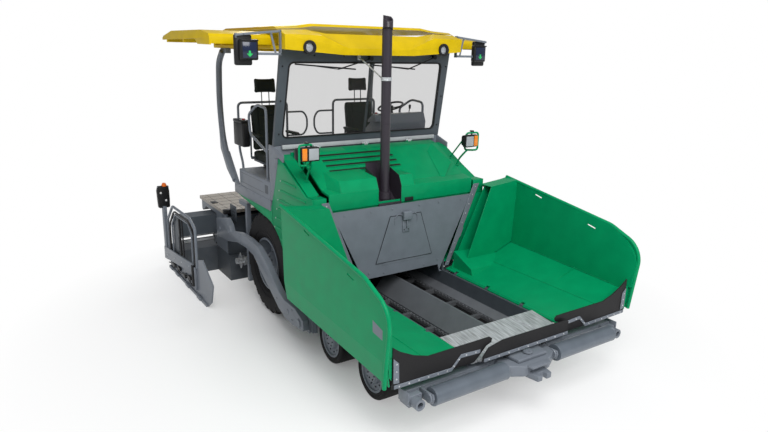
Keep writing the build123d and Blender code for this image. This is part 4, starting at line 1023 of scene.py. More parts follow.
def roof_seams():
    """Folded drip edges along the roof's sides."""
    edge = tube("roof_drip_left", [(1.264, -0.76, 3.59), (1.264, -0.5, 3.685),
                                   (1.264, 1.1, 3.687), (1.264, 1.62, 3.605)], 0.004)
    pair(edge, "yellow_shell")


# ------------------------------------------------------------------ displays
def display_units():
    """Feed displays: rounded housing, dark screen with a lit arrow, and steel arms."""
    shell = block("display_shell_left", (1.552, -0.725, 3.318), (1.758, -0.648, 3.535), 0.018, 3)
    back = block("back", (1.598, -0.66, 3.262), (1.796, -0.6, 3.588), 0.02, 3)
    hood = plate("hood", [(-0.742, 3.52), (-0.742, 3.532), (-0.7, 3.538), (-0.7, 3.524)],
                 "x", 1.556, 1.754, 0.003)
    case = joined("display_shell_left", [shell, back, hood])
    housings = pair(case, "lamp_housing")
    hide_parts("displays")
    glass = block("display_screen_left", (1.576, -0.7285, 3.342), (1.734, -0.722, 3.509), 0.002)
    pair(glass, "screen_glass")
    arrow = plate("display_arrow_left", [(1.655, 3.352), (1.69, 3.388), (1.667, 3.388),
                                         (1.667, 3.418), (1.643, 3.418), (1.643, 3.388),
                                         (1.62, 3.388)], "y", -0.7305, -0.7283, 0.0)
    pair(arrow, "arrow_green")
    top = plate("display_arm_left", [(1.263, 3.648), (1.263, 3.622), (1.7, 3.578),
                                     (1.792, 3.568), (1.792, 3.592), (1.7, 3.604)], "y",
                -0.69, -0.682, 0.002)
    brace = plate("brace", [(1.374, 3.62), (1.398, 3.617), (1.344, 3.392), (1.32, 3.392)],
                  "y", -0.682, -0.675, 0.002)
    low = plate("low_arm", [(1.263, 3.374), (1.263, 3.402), (1.6, 3.402), (1.6, 3.374)], "y",
                -0.69, -0.682, 0.002)
    root = block("root", (1.2635, -0.69, 3.372), (1.276, -0.64, 3.65), 0.003)
    drop_arm = block("drop_arm", (1.768, -0.668, 3.55), (1.79, -0.64, 3.6), 0.003)
    bolts = heads("bolts", [(1.29, -0.693, 3.632), (1.386, -0.693, 3.606), (1.7, -0.693, 3.59),
                            (1.29, -0.693, 3.388), (1.57, -0.693, 3.388)], (0, -1, 0), 0.009)
    pair(joined("display_arms_left", [top, brace, low, root, drop_arm, bolts]), "grey_paint")


# ------------------------------------------------------------------ work lamps
def work_lamp_units():
    """Work lamps with clear and amber lenses in their green guard loops."""
    case = block("work_lamp_shell_left", (1.066, -1.192, 2.238), (1.286, -1.13, 2.402), 0.024, 3)
    back = block("back", (1.085, -1.14, 2.252), (1.325, -1.075, 2.39), 0.026, 3)
    rim = block("rim", (1.064, -1.202, 2.24), (1.21, -1.18, 2.398), 0.01, 3)
    knob = turned("knob", [(-0.02, 0.004), (-0.02, 0.012), (0.028, 0.012), (0.028, 0.03),
                           (0.042, 0.026), (0.042, 0.004)], (1.205, -1.15, 2.412), "z", 20)
    housings = pair(joined("work_lamp_shell_left", [case, back, rim, knob]), "lamp_housing")
    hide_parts("work_lamps")
    clear = block("work_lamp_clear_left", (1.076, -1.207, 2.254), (1.198, -1.195, 2.384), 0.01, 3)
    pair(clear, "clear_lens")
    amber = block("work_lamp_amber_left", (1.216, -1.201, 2.252), (1.276, -1.188, 2.388), 0.012, 3)
    pair(amber, "amber_lens")
    x0, x1, y, z0, z1 = 1.134, 1.302, -1.168, 2.196, 2.424
    mid_x = (x0 + x1) / 2
    loop = tube("work_lamp_guard_left",
                [(mid_x, y, z0), (x1, y, z0), (x1, y, z1), (x0, y + 0.02, z1),
                 (x0, y + 0.06, z1 - 0.05), (x0, y + 0.06, z0), (mid_x, y, z0)], 0.013, 0.035)
    stalk = tube("stalk", [(1.122, -0.975, cowl_top(1.122, -0.975) - 0.002),
                           (1.124, -1.01, 2.06), (1.13, -1.1, 2.15), (1.15, -1.14, 2.198)],
                 0.013, 0.05)
    brace = tube("brace", [(1.11, -0.83, cowl_top(1.11, -0.83) - 0.002),
                           (1.134, -1.11, 2.372)], 0.01)
    feet = []
    for x, y in ((1.122, -0.975), (1.11, -0.83)):
        feet.append(turned("foot", [(0.0, 0.009), (0.012, 0.009), (0.012, 0.026), (0.0, 0.028)],
                           (x, y, cowl_top(x, y)), "z", 20))
    pair(joined("work_lamp_guard_left", [loop, stalk, brace] + feet), "green_paint")


# ------------------------------------------------------------------ hopper
CHUTE_FACE = -1.3992


def chute_hatch():
    """Inspection hatch, latch and bolts on the chute plate."""
    y = CHUTE_FACE
    outline = [(-0.23, 1.53), (0.222, 1.53), (0.415, 0.965), (-0.425, 0.965)]
    hatch = plate("chute_hatch", outline, "y", y - 0.004, y, 0.0015, 1)
    seam = tube("seam", [(x, y - 0.0035, z) for x, z in outline] +
                [(outline[0][0], y - 0.0035, outline[0][1])], 0.004)
    dressed(hatch, "grey_paint")
    dressed(seam, "black_seal")
    base = block("latch", (-0.062, y - 0.055, 1.47), (0.062, y - 0.004, 1.575), 0.01, 3)
    plate_low = plate("low", [(-0.05, 1.312), (0.05, 1.312), (0.062, 1.48), (-0.062, 1.48)],
                      "y", y - 0.016, y - 0.004, 0.004)
    grip = tube("grip", [(0, y - 0.014, 1.47), (0, y - 0.03, 1.45), (0, y - 0.03, 1.38),
                         (0, y - 0.014, 1.36)], 0.007, 0.02)
    wire = [tube("wire", [(s * 0.062, y - 0.02, 1.53), (s * 0.12, y - 0.012, 1.55),
                          (s * 0.17, y - 0.008, 1.5), (s * 0.165, y - 0.004, 1.42)], 0.006,
                 0.03) for s in (-1, 1)]
    dressed(joined("chute_latch", [base, plate_low, grip] + wire), "grey_paint")
    # black discs over the latch's holes: painted shade inside the holes
    holes = heads("latch_holes", [(-0.03, y - 0.0162, 1.345), (0.03, y - 0.0162, 1.345)],
                  (0, -1, 0), 0.008, 0.003, 12)
    dressed(holes, "black_seal")
    places = [(s * x, y - 0.001, z) for s in (-1, 1)
              for x, z in ((0.86, 1.62), (0.5, 1.62), (0.2, 1.62), (0.52, 0.86), (0.3, 0.83))]
    dressed(heads("chute_bolts", places, (0, -1, 0), size("bolt_radius")), "grey_paint")


def chute_strips():
    """Bolted sealing strips at both edges of the chute plate."""
    y = -1.4045
    outline = [(0.64, 0.752), (0.705, 0.752), (0.86, 1.1), (0.885, 1.12), (0.925, 1.22),
               (0.918, 1.245), (1.155, 1.8), (1.062, 1.8)]
    strip = plate("chute_strip_left", outline, "y", y, y + 0.008, 0.002, 1)
    pair(strip, "grey_paint")
    places = [(0.672 + (z - 0.752) * 0.416, y - 0.001, z) for z in
              (0.8, 0.92, 1.04, 1.3, 1.42, 1.54, 1.66, 1.76)]
    pair(heads("chute_strip_bolts_left", places, (0, -1, 0), 0.009, 0.006), "bare_steel")


def trough_details():
    """Chain links on the scraper conveyors."""
    links = []
    deselect()
    model = block("link", (-0.011, -0.022, -0.009), (0.011, 0.022, 0.009), 0.006, 1)
    model.data.transform(Matrix.Translation((0, -AXLE_Y, 0)))
    for x in (0.205, 0.49):
        for i in range(56):
            y = -2.84 + i * 0.0673
            links.append(copy_of(model, "link", Matrix.Translation(
                (x, y + AXLE_Y, 0.4475))))
    bpy.data.objects.remove(model)
    pair(joined("conveyor_chain_left", links), "slat_steel")


def sill_details():
    """Folded side facets and bolts of the front sill."""
    z0, z1 = 0.706, 0.654
    facet = panel("sill_facet_left", [(0.3, -2.94, z0 + 0.002), (0.642, -2.94, z0 + 0.004),
                                      (0.642, -3.413, z1 + 0.004), (0.43, -3.413, z1 + 0.002)],
                  0.004, 0.001)
    pair(facet, "bare_steel")
    places = [(x, -3.395, z1 + 0.003) for x in (-0.5, -0.25, 0.0, 0.25, 0.5)]
    dressed(heads("sill_bolts", places, (0, 0, 1), 0.01, 0.006), "bare_steel")


def wing_front_web():
    """Web that closes the gap between the wing's wall and its edge tube."""
    edge = [(-3.06, 1.61), (-3.24, 1.53), (-3.36, 1.47), (-3.46, 1.38), (-3.505, 1.28),
            (-3.5, 1.15), (-3.435, 0.7), (-3.4, 0.7), (-3.4, 1.3), (-3.06, 1.5)]
    web = plate("wing_front_web_left", edge, "x", 1.631, 1.641, 0.001, 1)
    pair(web, "green_paint", "wing_{side}")


def wing_back_wall():
    """Rear wall of each wing with the folded flange along its upper edge."""
    wall = plate("wing_back_wall_left", [(0.8, 0.795), (1.165, 0.83), (1.6, 1.0),
                                         (1.632, 1.834), (1.17, 1.79)], "y", -1.622, -1.612,
                 0.002, 1)
    flange = panel("flange", [(1.17, -1.622, 1.785), (1.632, -1.622, 1.829),
                              (1.632, -1.425, 1.829), (1.17, -1.425, 1.785)], 0.008, 0.002)
    pair(joined("wing_back_wall_left", [wall, flange]), "green_paint", "wing_{side}")


def wing_details():
    """Fold seams, stripe and hinge cover of the hopper wings."""
    seam = tube("wing_seam_left", [(1.166, -1.48, 0.8245), (1.166, -3.41, 0.8245)], 0.0035)
    fold = tube("wing_fold_left", [(1.598, -1.48, 1.0), (1.598, -3.41, 0.924)], 0.0035)
    cover = block("hinge_cover", (0.7, -3.4, 0.714), (0.74, -1.42, 0.7225), 0.002, 1)
    pair(joined("wing_seams_left", [seam, fold, cover]), "green_paint", "wing_{side}")
    places = [(0.72, -3.36 + i * 0.175, 0.7235) for i in range(12)]
    pair(heads("wing_hinge_bolts_left", places, (0, 0, 1), 0.008, 0.005), "green_paint",
         "wing_{side}")
    stripe = []
    for y, low, high in ((-3.226, 1.134, 1.244), (-3.47, 1.103, 1.184)):
        low_x = first_hit("wing_left", (2.2, max(y, -3.42), low), (-1, 0, 0)).x
        high_x = first_hit("wing_left", (2.2, max(y, -3.42), high), (-1, 0, 0)).x
        stripe.append(((low_x + 0.0004, y, low), (high_x + 0.0004, y, high)))
    parts = []
    for (a, b), (c, d) in zip(stripe, stripe[1:]):
        parts.append(panel("stripe", [a, b, d, c], 0.0012, 0.0))
    pair(joined("wing_stripe_left", parts), "grey_paint", "wing_{side}")


def apron_bars():
    """Clamping bars with their bolts on the rubber aprons."""
    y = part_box("wing_apron_left")[0].y - AXLE_Y
    bar_line = [(0.578, 0.75), (0.808, 0.762), (0.915, 0.656), (1.545, 0.668)]
    outline = bar_line + [(x, z + 0.036) for x, z in reversed(bar_line)]
    bar = plate("apron_bar_left", outline, "y", y - 0.0085, y - 0.0005, 0.002, 1)
    side = plate("side_bar", [(1.492, 0.715), (1.552, 0.722), (1.556, 0.958), (1.5, 0.905)],
                 "y", y - 0.0085, y - 0.0005, 0.002, 1)
    pair(joined("apron_bar_left", [bar, side]), "grey_paint", "wing_{side}")
    places = []
    for (x0, z0), (x1, z1) in zip(bar_line, bar_line[1:]):
        count = max(2, int((x1 - x0) / 0.1))
        for i in range(count):
            share = (i + 0.5) / count
            places.append((x0 + (x1 - x0) * share, y - 0.009, z0 + (z1 - z0) * share + 0.018))
    places += [(1.524, y - 0.009, z) for z in (0.76, 0.83, 0.9)]
    pair(heads("apron_bolts_left", places, (0, -1, 0), 0.009, 0.007), "bare_steel",
         "wing_{side}")
    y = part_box("centre_apron")[0].y - AXLE_Y
    middle = block("centre_apron_bar", (-0.56, y - 0.009, 0.664), (0.59, y - 0.001, 0.698),
                   0.002, 1)
    dressed(middle, "grey_paint")
    dressed(heads("centre_apron_bolts", [(-0.5 + i * 0.128, y - 0.01, 0.681)
                                         for i in range(9)], (0, -1, 0), 0.009, 0.007),
            "bare_steel")


def crossbar_details():
    """Bolts, pads and roller end caps of the crossbar."""
    places = [(s * x, -3.401, z) for s in (-1, 1) for x in (1.1, 0.72, 0.4)
              for z in (0.5, 0.55)]
    places += [(s * 1.33, -3.4705, z) for s in (-1, 1) for z in (0.47, 0.545)]
    dressed(heads("crossbar_bolts", places, (0, -1, 0), 0.012, 0.01), "grey_paint",
            "crossbar")
    caps = turned("crossbar_bosses", [(0.0, 0.004), (0.0, 0.052), (0.016, 0.046),
                                      (0.016, 0.004)], (0, -3.5, 0.632), "z", 28)
    dressed(joined("crossbar_boss", [caps, heads(
        "boss_screws", [(0.03 * cos(a), -3.5 + 0.03 * sin(a), 0.65)
                        for a in (0.5, 2.6, 4.7)], (0, 0, 1), 0.007, 0.006)]),
            "grey_paint", "crossbar")
    ends = [turned("roller_cap_left", [(x, 0.004), (x, 0.052), (x + s * 0.012, 0.045),
                                       (x + s * 0.012, 0.004)], (0, -3.544, 0.545), "x", 28)
            for x, s in ((1.2405, 1), (0.3165, -1))]
    pair(joined("roller_cap_left", ends), "grey_paint", "crossbar")
    rings = [turned("roller_ring", [(x, 0.0852), (x + 0.008, 0.0852), (x + 0.006, 0.087),
                                    (x + 0.002, 0.087)], (0, -3.544, 0.545), "x", 40)
             for x in (0.352, 1.196)]
    pair(joined("roller_rings_left", rings), "roller_steel", "push_roller_{side}")


# ------------------------------------------------------------------ side panels
ARCH_RADIUS = 0.655
COVER_EDGE = [(-0.48, 2.165), (-0.43, 2.023), (-0.344, 1.778), (-0.281, 1.634),
              (-0.236, 1.505), (-0.232, 1.354)]


def arch_points(start, end, steps=18):
    """Points of the wheel arch between two angles from the front, as (y, z)."""
    made = []
    for i in range(steps + 1):
        angle = start + (end - start) * i / steps
        made.append((-ARCH_RADIUS * cos(angle), TYRE_R + ARCH_RADIUS * sin(angle)))
    return made


RIB_TOP_Z = 1.909     # of the side cover's upper rib, m
RIB_PITCH = 0.125
RIB_END_Y = -0.541    # where the upper rib ends
RIB_LEAN = 0.339      # how far the ribs' rear ends move back per unit of drop


def rib_end(z):
    """Where the rib at that height ends."""
    return RIB_END_Y + (RIB_TOP_Z - z) * RIB_LEAN


def side_cover_skins():
    """Side covers with their louvre ribs, round arch and flanged edges."""
    outline = [(-1.375, 0.8), (-1.375, 1.845), (-1.208, 1.845), (-0.612, 2.128)] + COVER_EDGE
    outline += arch_points(radians(65), radians(10.2)) + [(-0.646, 0.8)]
    face = plate("side_cover_skin_left", outline, "x", 1.236, 1.25, 0.003, 2)
    front = plate("front", [(1.249, 0.8), (1.249, 1.672), (1.035, 1.672), (0.7, 0.8)], "y",
                  -1.375, -1.36, 0.003)
    under = block("under", (0.646, -1.375, 0.8), (1.236, -0.706, 0.812), 0.003)
    parts = [face, front, under]
    for i in range(8):
        z = RIB_TOP_Z - i * RIB_PITCH
        end = rib_end(z)
        reach = ARCH_RADIUS ** 2 - (z - TYRE_R) ** 2
        if reach > 0:
            end = min(end, -reach ** 0.5 - 0.02)
        start = -1.21 if z < 1.8 else -0.96
        outline = [(start, z - 0.01), (start + 0.02, z - 0.016), (end - 0.03, z - 0.016),
                   (end, z), (end - 0.03, z + 0.016), (start + 0.02, z + 0.016),
                   (start, z + 0.01)]
        parts.append(plate("rib", outline, "x", 1.249, 1.2585, 0.004, 2))
    skins = pair(joined("side_cover_skin_left", parts), "green_paint")
    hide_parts("side_covers")
    places = [(1.2595, rib_end(z) - 0.004, z) for z in
              [RIB_TOP_Z - i * RIB_PITCH for i in range(6)]]
    pair(heads("side_cover_dots_left", places, (1, 0, 0), 0.009, 0.004, 12), "bare_steel")
    places = [(1.2505, -1.345, z) for z in (0.95, 1.25, 1.55, 1.78)]
    pair(heads("side_cover_bolts_left", places, (1, 0, 0), 0.01, 0.006), "green_paint")


def mudguard_skins():
    """Green band over each rear wheel and the pale wheel house inside it."""
    top = [(0.99, 1.457), (0.99, 1.53), (-0.24, 1.53), (-0.229, 1.505), (-0.225, 1.354)]
    arch = arch_points(radians(66), radians(90), 10)
    band = plate("mudguard_band_left", top + arch, "x", 1.236, 1.25, 0.003, 2)
    bands = pair(band, "green_paint")
    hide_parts("mudguards")
    inner, outer = 0.706, 0.716
    points = []
    for radius, way in ((inner, 1), (outer, -1)):
        run = [(-radius * cos(radians(a)), TYRE_R + radius * sin(radians(a)))
               for a in range(12, 85, 4)]
        points += run[::way]
    house = plate("wheel_house_left", points, "x", 0.646, 1.236, 0.001, 1)
    pair(house, "pale_paint")


def platform_units():
    """Operator platform: floor, sills, step boxes with a recess painted dark as shade, and side
    panels.
    """
    side = [block("sill", (1.225, -0.225, 1.46), (1.262, 1.045, 1.6), 0.006),
            block("box", (0.905, -0.22, 1.575), (1.255, 0.85, 1.83), 0.012, 3),
            plate("panel", [(-0.258, 1.6), (-0.274, 1.634), (-0.337, 1.778), (-0.423, 2.023),
                            (-0.472, 2.175), (-0.606, 2.138), (-0.608, 2.225), (-0.38, 2.299),
                            (-0.19, 2.299), (-0.2, 1.6)], "x", 1.229, 1.25, 0.004, 2)]
    for y in (-0.2, 0.3, 0.9):
        side.append(block("leg", (0.761, y - 0.06, 1.46), (0.841, y + 0.06, 1.546), 0.004))
    pair(joined("platform_side_left", side), "grey_paint")
    floor = block("floor", (-1.228, -0.425, 1.545), (1.228, 1.045, 1.575), 0.004)
    scuttle = block("scuttle", (-1.228, -0.372, 1.574), (1.228, -0.35, 2.2985), 0.003)
    deck = dressed(joined("platform_floor", [floor, scuttle]), "grey_paint")
    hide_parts("platform")
    mats = [block("mat", (-0.88, -0.3, 1.5755), (0.88, 1.0, 1.5795), 0.001, 1)]
    dressed(joined("platform_mat", mats), "sheet_rubber")
    # dark plate on the step box: painted shade of its recess; the grooves are dark joints
    lines = [block("recess", (1.2535, -0.15, 1.66), (1.2565, -0.05, 1.77), 0.001, 1)]
    for z in (1.655, 1.785):
        lines.append(block("groove", (1.2535, 0.0, z), (1.256, 0.82, z + 0.006), 0.001, 1))
    pair(joined("platform_box_lines_left", lines), "dark_paint")
    clamp = block("panel_clamp_left", (1.2475, -0.47, 2.1), (1.268, -0.4, 2.16), 0.006)
    pair(clamp, "grey_paint")
    places = [(1.263, y, 1.57) for y in (-0.15, 0.1, 0.35, 0.6, 0.85, 1.0)]
    pair(heads("platform_sill_bolts_left", places, (1, 0, 0), 0.01, 0.007), "grey_paint")
    places = [(1.2515, y, z) for y, z in ((-0.3, 1.8), (-0.38, 2.05), (-0.42, 2.22),
                                          (-0.25, 2.2), (-0.24, 1.72))]
    pair(heads("platform_panel_bolts_left", places, (1, 0, 0), 0.009, 0.006), "grey_paint")


# ------------------------------------------------------------------ operator station
def console_unit():
    """Operator console with its panel, keys, lever, column and steering wheel."""
    body = plate("console", [(-0.18, 2.28), (0.24, 2.28), (0.26, 2.36), (-0.06, 2.605),
                             (-0.15, 2.6), (-0.2, 2.48)], "x", 0.42, 1.165, 0.014, 3)
    wing = plate("console_tip", [(-0.16, 2.5), (0.06, 2.48), (0.04, 2.52), (-0.07, 2.596),
                                 (-0.15, 2.594)], "x", 0.335, 0.43, 0.01, 2)
    foot = block("foot", (0.82, -0.12, 1.831), (1.08, 0.18, 2.3), 0.012, 3)
    collar = block("collar", (0.8, -0.14, 2.262), (1.1, 0.2, 2.29), 0.008)
    unit = dressed(joined("console_body", [body, wing, foot, collar]), "grey_paint")
    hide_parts("console")
    lean = Vector((0, 0.32, -0.245)).normalized()
    start = Vector((0.0, -0.055, 2.603))
    up = Vector((0, 0.608, 0.794))
    keys, lamps = [], []
    for row in range(3):
        for col in range(7):
            if col == 3 and row == 1:
                continue
            centre = start + lean * (0.06 + row * KEY_PITCH_Y) + up * 0.002
            x = 0.5 + col * KEY_PITCH_X
            if SCREEN_X[0] < x < SCREEN_X[1]:
                continue
            corner = [(x - 0.02, centre + lean * -0.016), (x + 0.02, centre + lean * -0.016),
                      (x + 0.02, centre + lean * 0.016), (x - 0.02, centre + lean * 0.016)]
            key = panel("key", [(cx, p.y, p.z) for cx, p in corner][::-1], 0.008, 0.003)
            (keys if (row + col) % 4 else lamps).append(key)
    dressed(joined("console_keys", keys), "lamp_housing")
    dressed(joined("console_key_lamps", lamps), "clear_lens")
    centre = start + lean * 0.14
    screen = panel("console_screen", [(x, (centre + lean * d + up * 0.001).y,
                                       (centre + lean * d + up * 0.001).z)
                                      for x, d in ((0.735, 0.06), (0.855, 0.06),
                                                   (0.855, -0.05), (0.735, -0.05))],
                   0.006, 0.002)
    dressed(screen, "screen_glass")
    lever = [tube("rod", [(1.03, 0.05, 2.52), (1.03, 0.02, 2.66)], 0.006),
             turned("knob", [(0.0, 0.003), (0.0, 0.014), (0.05, 0.019), (0.062, 0.008),
                             (0.062, 0.003)], (1.03, 0.018, 2.64), "z", 20)]
    dressed(joined("console_lever", lever), "lamp_housing")
    centre = Vector((0.785, 0.15, 2.67))
    tilt = radians(-25)
    across, back = Vector((1, 0, 0)), Vector((0, cos(tilt), sin(tilt)))
    rim = [centre + across * WHEEL_R * cos(a) + back * WHEEL_R * sin(a)
           for a in [2 * pi * i / 40 for i in range(40)]]
    wheel = [tube("rim", rim, 0.014, closed=True)]
    for angle in (0.0, 2.1, 4.2):
        point = centre + across * 0.176 * cos(angle) + back * 0.176 * sin(angle)
        low = centre + Vector((0, 0.0, -0.012))
        wheel.append(tube("spoke", [low, (low + point) / 2 - Vector((0, 0, 0.008)), point],
                          0.009))
    wheel.append(tube("column", [(0.785, 0.07, 2.43), (0.785, 0.142, 2.645)], 0.024))
    wheel.append(tube("hub", [(0.785, 0.14, 2.64), (0.785, 0.153, 2.675)], 0.04))
    dressed(joined("steering_wheel", wheel), "lamp_housing")


def rail_units():
    """Tubular handrails beside and behind the seats."""
    side = tube("side_rail", [(1.21, -0.05, 1.83), (1.21, -0.05, 2.73), (1.21, 0.23, 2.75),
                              (1.21, 0.54, 2.6), (1.21, 0.5, 2.35), (1.21, -0.05, 2.18)],
                0.017, 0.07, resolution=4)
    rear = tube("rear_rail", [(1.13, 1.022, 1.575), (1.13, 1.022, 1.85), (1.13, 1.14, 2.05),
                              (1.13, 1.14, 2.7), (0.385, 1.14, 2.7), (0.385, 1.14, 2.05),
                              (0.385, 1.022, 1.85), (0.385, 1.022, 1.575)], 0.017, 0.07,
                resolution=4)
    small = tube("small_rail", [(0.385, 1.14, 2.545), (0.12, 1.14, 2.545), (0.06, 1.14, 2.45),
                                (0.06, 1.14, 2.3), (0.12, 1.14, 2.2), (0.385, 1.14, 2.2)],
                 0.014, 0.06, resolution=4)
    feet = [turned("foot", [(0.0, 0.016), (0.012, 0.016), (0.012, 0.034), (0.0, 0.036)],
                   place, "z", 20)
            for place in ((1.21, -0.05, 1.8305), (1.13, 1.022, 1.5755), (0.385, 1.022, 1.5755))]
    rails = pair(joined("handrail_left", [side, rear, small] + feet), "grey_paint")
    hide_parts("handrails")


def post_units():
    """Bent rear posts of the roof with their flat brackets and bolts."""
    post = tube("rear_post_left", [(1.27, 0.985, 1.64), (1.27, 1.417, 2.093),
                                   (1.27, 1.5, 2.709), (1.27, 1.44, 3.25),
                                   (1.27, 1.27, 3.395)], 0.042, 0.3, resolution=5)
    bracket = plate("bracket", [(1.565, 2.7), (1.575, 2.6), (1.53, 2.02), (1.3, 1.75),
                                (1.06, 1.6), (0.9, 1.605), (1.1, 1.8), (1.33, 2.06),
                                (1.44, 2.62), (1.45, 2.7)], "x", 1.262, 1.278, 0.003)
    foot = plate("foot", [(0.88, 1.6005), (1.045, 1.6005), (1.33, 1.95), (1.25, 2.01)], "x",
                 1.236, 1.264, 0.004)
    head = block("head", (1.19, 1.15, 3.37), (1.262, 1.37, 3.439), 0.006)
    posts = pair(joined("rear_post_left", [post, bracket, foot, head]), "grey_paint")
    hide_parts("rear_posts")
    places = [(1.279, y, z) for y, z in ((1.02, 1.65), (1.1, 1.72), (1.3, 1.95),
                                         (1.5, 2.63), (1.545, 2.63))]
    pair(heads("rear_post_bolts_left", places, (1, 0, 0), 0.012, 0.009), "grey_paint")


def arm_units():
    """Tow arms with their pins, end caps and bolts."""
    outline = [(1.6, 0.7), (1.6, 0.955), (1.158, 1.05), (1.028, 0.97), (0.983, 0.893),
               (0.653, 0.963), (0.299, 0.977), (-0.027, 0.946), (-0.283, 0.831),
               (-0.485, 0.688), (-0.681, 0.559), (-0.835, 0.5), (-1.138, 0.5), (-1.34, 0.42),
               (-1.36, 0.3), (-1.06, 0.262), (-0.861, 0.273), (-0.666, 0.331),
               (-0.468, 0.448), (-0.261, 0.56), (-0.048, 0.685), (0.127, 0.791),
               (0.415, 0.821), (0.725, 0.803), (1.12, 0.714)]
    arm = plate("tow_arm_skin_left", outline, "x", 1.301, 1.379, 0.006, 3)
    pin = turned("pin", [(1.296, 0.004), (1.296, 0.055), (1.302, 0.06), (1.378, 0.06),
                         (1.388, 0.052), (1.388, 0.004)], (0, -1.25, 0.36), "x", 32)
    caps = [turned("cap", [(1.378, 0.004), (1.378, 0.034), (1.386, 0.03), (1.386, 0.004)],
                   (0, y, z), "x", 24) for y, z in ((-0.93, 0.385), (1.08, 0.87), (1.45, 0.82))]
    arms = pair(joined("tow_arm_skin_left", [arm, pin] + caps), "grey_paint", "screed")
    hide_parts("tow_arms")
    places = [(1.3805, y, z) for y, z in ((0.6, 0.93), (0.6, 0.845), (0.3, 0.9),
                                          (-0.62, 0.45), (-1.05, 0.45), (-1.05, 0.32))]
    pair(heads("tow_arm_bolts_left", places, (1, 0, 0), 0.013, 0.01), "grey_paint", "screed")


def crossbar_skin():
    """Crossbar with rounded plates, hook, brackets and end eyes."""
    parts = [block("beam", (-1.4, -3.4, 0.47), (1.4, -3.31, 0.58), 0.01, 3),
             plate("nose", [(-0.33, -3.4), (0.33, -3.4), (0.31, -3.56), (0.17, -3.64),
                            (-0.17, -3.64), (-0.31, -3.56)], "z", 0.47, 0.585, 0.012, 3),
             plate("hump", [(-0.215, -3.4), (0.215, -3.4), (0.19, -3.58), (-0.19, -3.58)],
                   "z", 0.583, 0.622, 0.012, 3),
             plate("jaw", [(-0.15, -3.61), (0.15, -3.61), (0.12, -3.7), (-0.12, -3.7)], "z",
                   0.56, 0.584, 0.005),
             plate("hook", [(-0.12, -3.6), (0.12, -3.6), (0.09, -3.745), (0.028, -3.745),
                            (0.026, -3.69), (-0.026, -3.69), (-0.028, -3.745),
                            (-0.09, -3.745)], "z", 0.44, 0.5, 0.008, 3),
             turned("pivot", [(-0.065, 0.036), (0.065, 0.036), (0.065, 0.075),
                              (-0.065, 0.075)], (0, -3.23, 0.525), "z", 36),
             block("pivot_arm", (-0.075, -3.32, 0.462), (0.075, -3.262, 0.588), 0.004)]
    for s in (-1, 1):
        x0, x1 = sorted((s * 1.255, s * 1.4))
        parts.append(block("end", (x0, -3.47, 0.45), (x1, -3.33, 0.56), 0.008, 3))
        parts.append(turned("eye", [(-0.05, 0.03), (-0.05, 0.052), (0.06, 0.052),
                                    (0.06, 0.004), (0.01, 0.004), (0.01, 0.03)],
                            (s * 1.34, -3.51, 0.505), "y", 32))
        x0, x1 = sorted((s * 1.4, s * 1.416))
        parts.append(block("cheek", (x0, -3.48, 0.48), (x1, -3.33, 0.6), 0.005))
        x0, x1 = sorted((s * 1.24, s * 1.33))
        parts.append(block("foot", (x0, -3.4, 0.44), (x1, -3.31, 0.472), 0.004))
        for x in (0.321, 1.216):
            x0, x1 = sorted((s * x, s * (x + 0.02)))
            parts.append(plate("bracket", [(-3.4, 0.475), (-3.4, 0.575), (-3.589, 0.588),
                                           (-3.604, 0.55), (-3.589, 0.5)], "x", x0, x1,
                               0.004))
    skin = dressed(joined("crossbar_skin", parts), "grey_paint", "crossbar")
    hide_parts("crossbar")


# ------------------------------------------------------------------ screed
def gate_details():
    """Posts, bands, rods and links of the end gates."""
    body = "extension_{side}"
    parts = [block("gate_post_left", (1.866, 2.52, 0.11), (1.918, 2.644, 0.985), 0.006),
             plate("band", [(1.09, 0.335), (2.645, 0.1), (2.645, 0.305), (1.06, 0.47)], "x",
                   1.904, 1.926, 0.004),
             block("front_bar", (1.886, 0.985, 0.1), (1.924, 1.02, 0.44), 0.004)]
    parts += [block("foot", (1.9, y, 0.008), (1.928, y + 0.16, 0.052), 0.005)
              for y in (0.8, 1.35, 1.9, 2.24)]
    pair(joined("gate_post_left", parts), "grey_paint", body)
    rods = [tube("rod", [(1.89, 1.045, 0.45), (1.89, 1.035, 0.93), (1.89, 1.235, 1.045),
                         (1.89, 2.02, 1.025), (1.89, 2.325, 0.74), (1.89, 2.325, 0.22)], 0.016,
                 0.09),
            tube("damper", [(1.918, 1.075, 0.14), (1.918, 1.075, 0.455)], 0.027),
            tube("thin", [(1.89, 1.6, 0.42), (1.89, 1.62, 0.98)], 0.012),
            tube("thin", [(1.89, 1.74, 0.4), (1.89, 1.76, 0.96)], 0.016)]
    rods += [block("link", (1.892, y, z), (1.922, y + 0.13, z + 0.05), 0.008)
             for y, z in ((1.25, 0.16), (1.52, 0.1), (1.8, 0.13), (2.1, 0.09), (2.38, 0.14))]
    rods += [tube("chain", [(1.91, 1.2, 0.1), (1.91, 1.5, 0.18), (1.91, 1.82, 0.09),
                            (1.91, 2.14, 0.15), (1.91, 2.45, 0.08)], 0.009, 0.05)]
    pair(joined("gate_rods_left", rods), "lamp_housing", body)
    places = [(1.9265, y, 0.44 - (y - 1.09) * 0.15 - 0.03) for y in (1.25, 1.65, 2.05, 2.45)]
    pair(heads("gate_bolts_left", places, (1, 0, 0), size("bolt_radius")), "bare_steel", body)


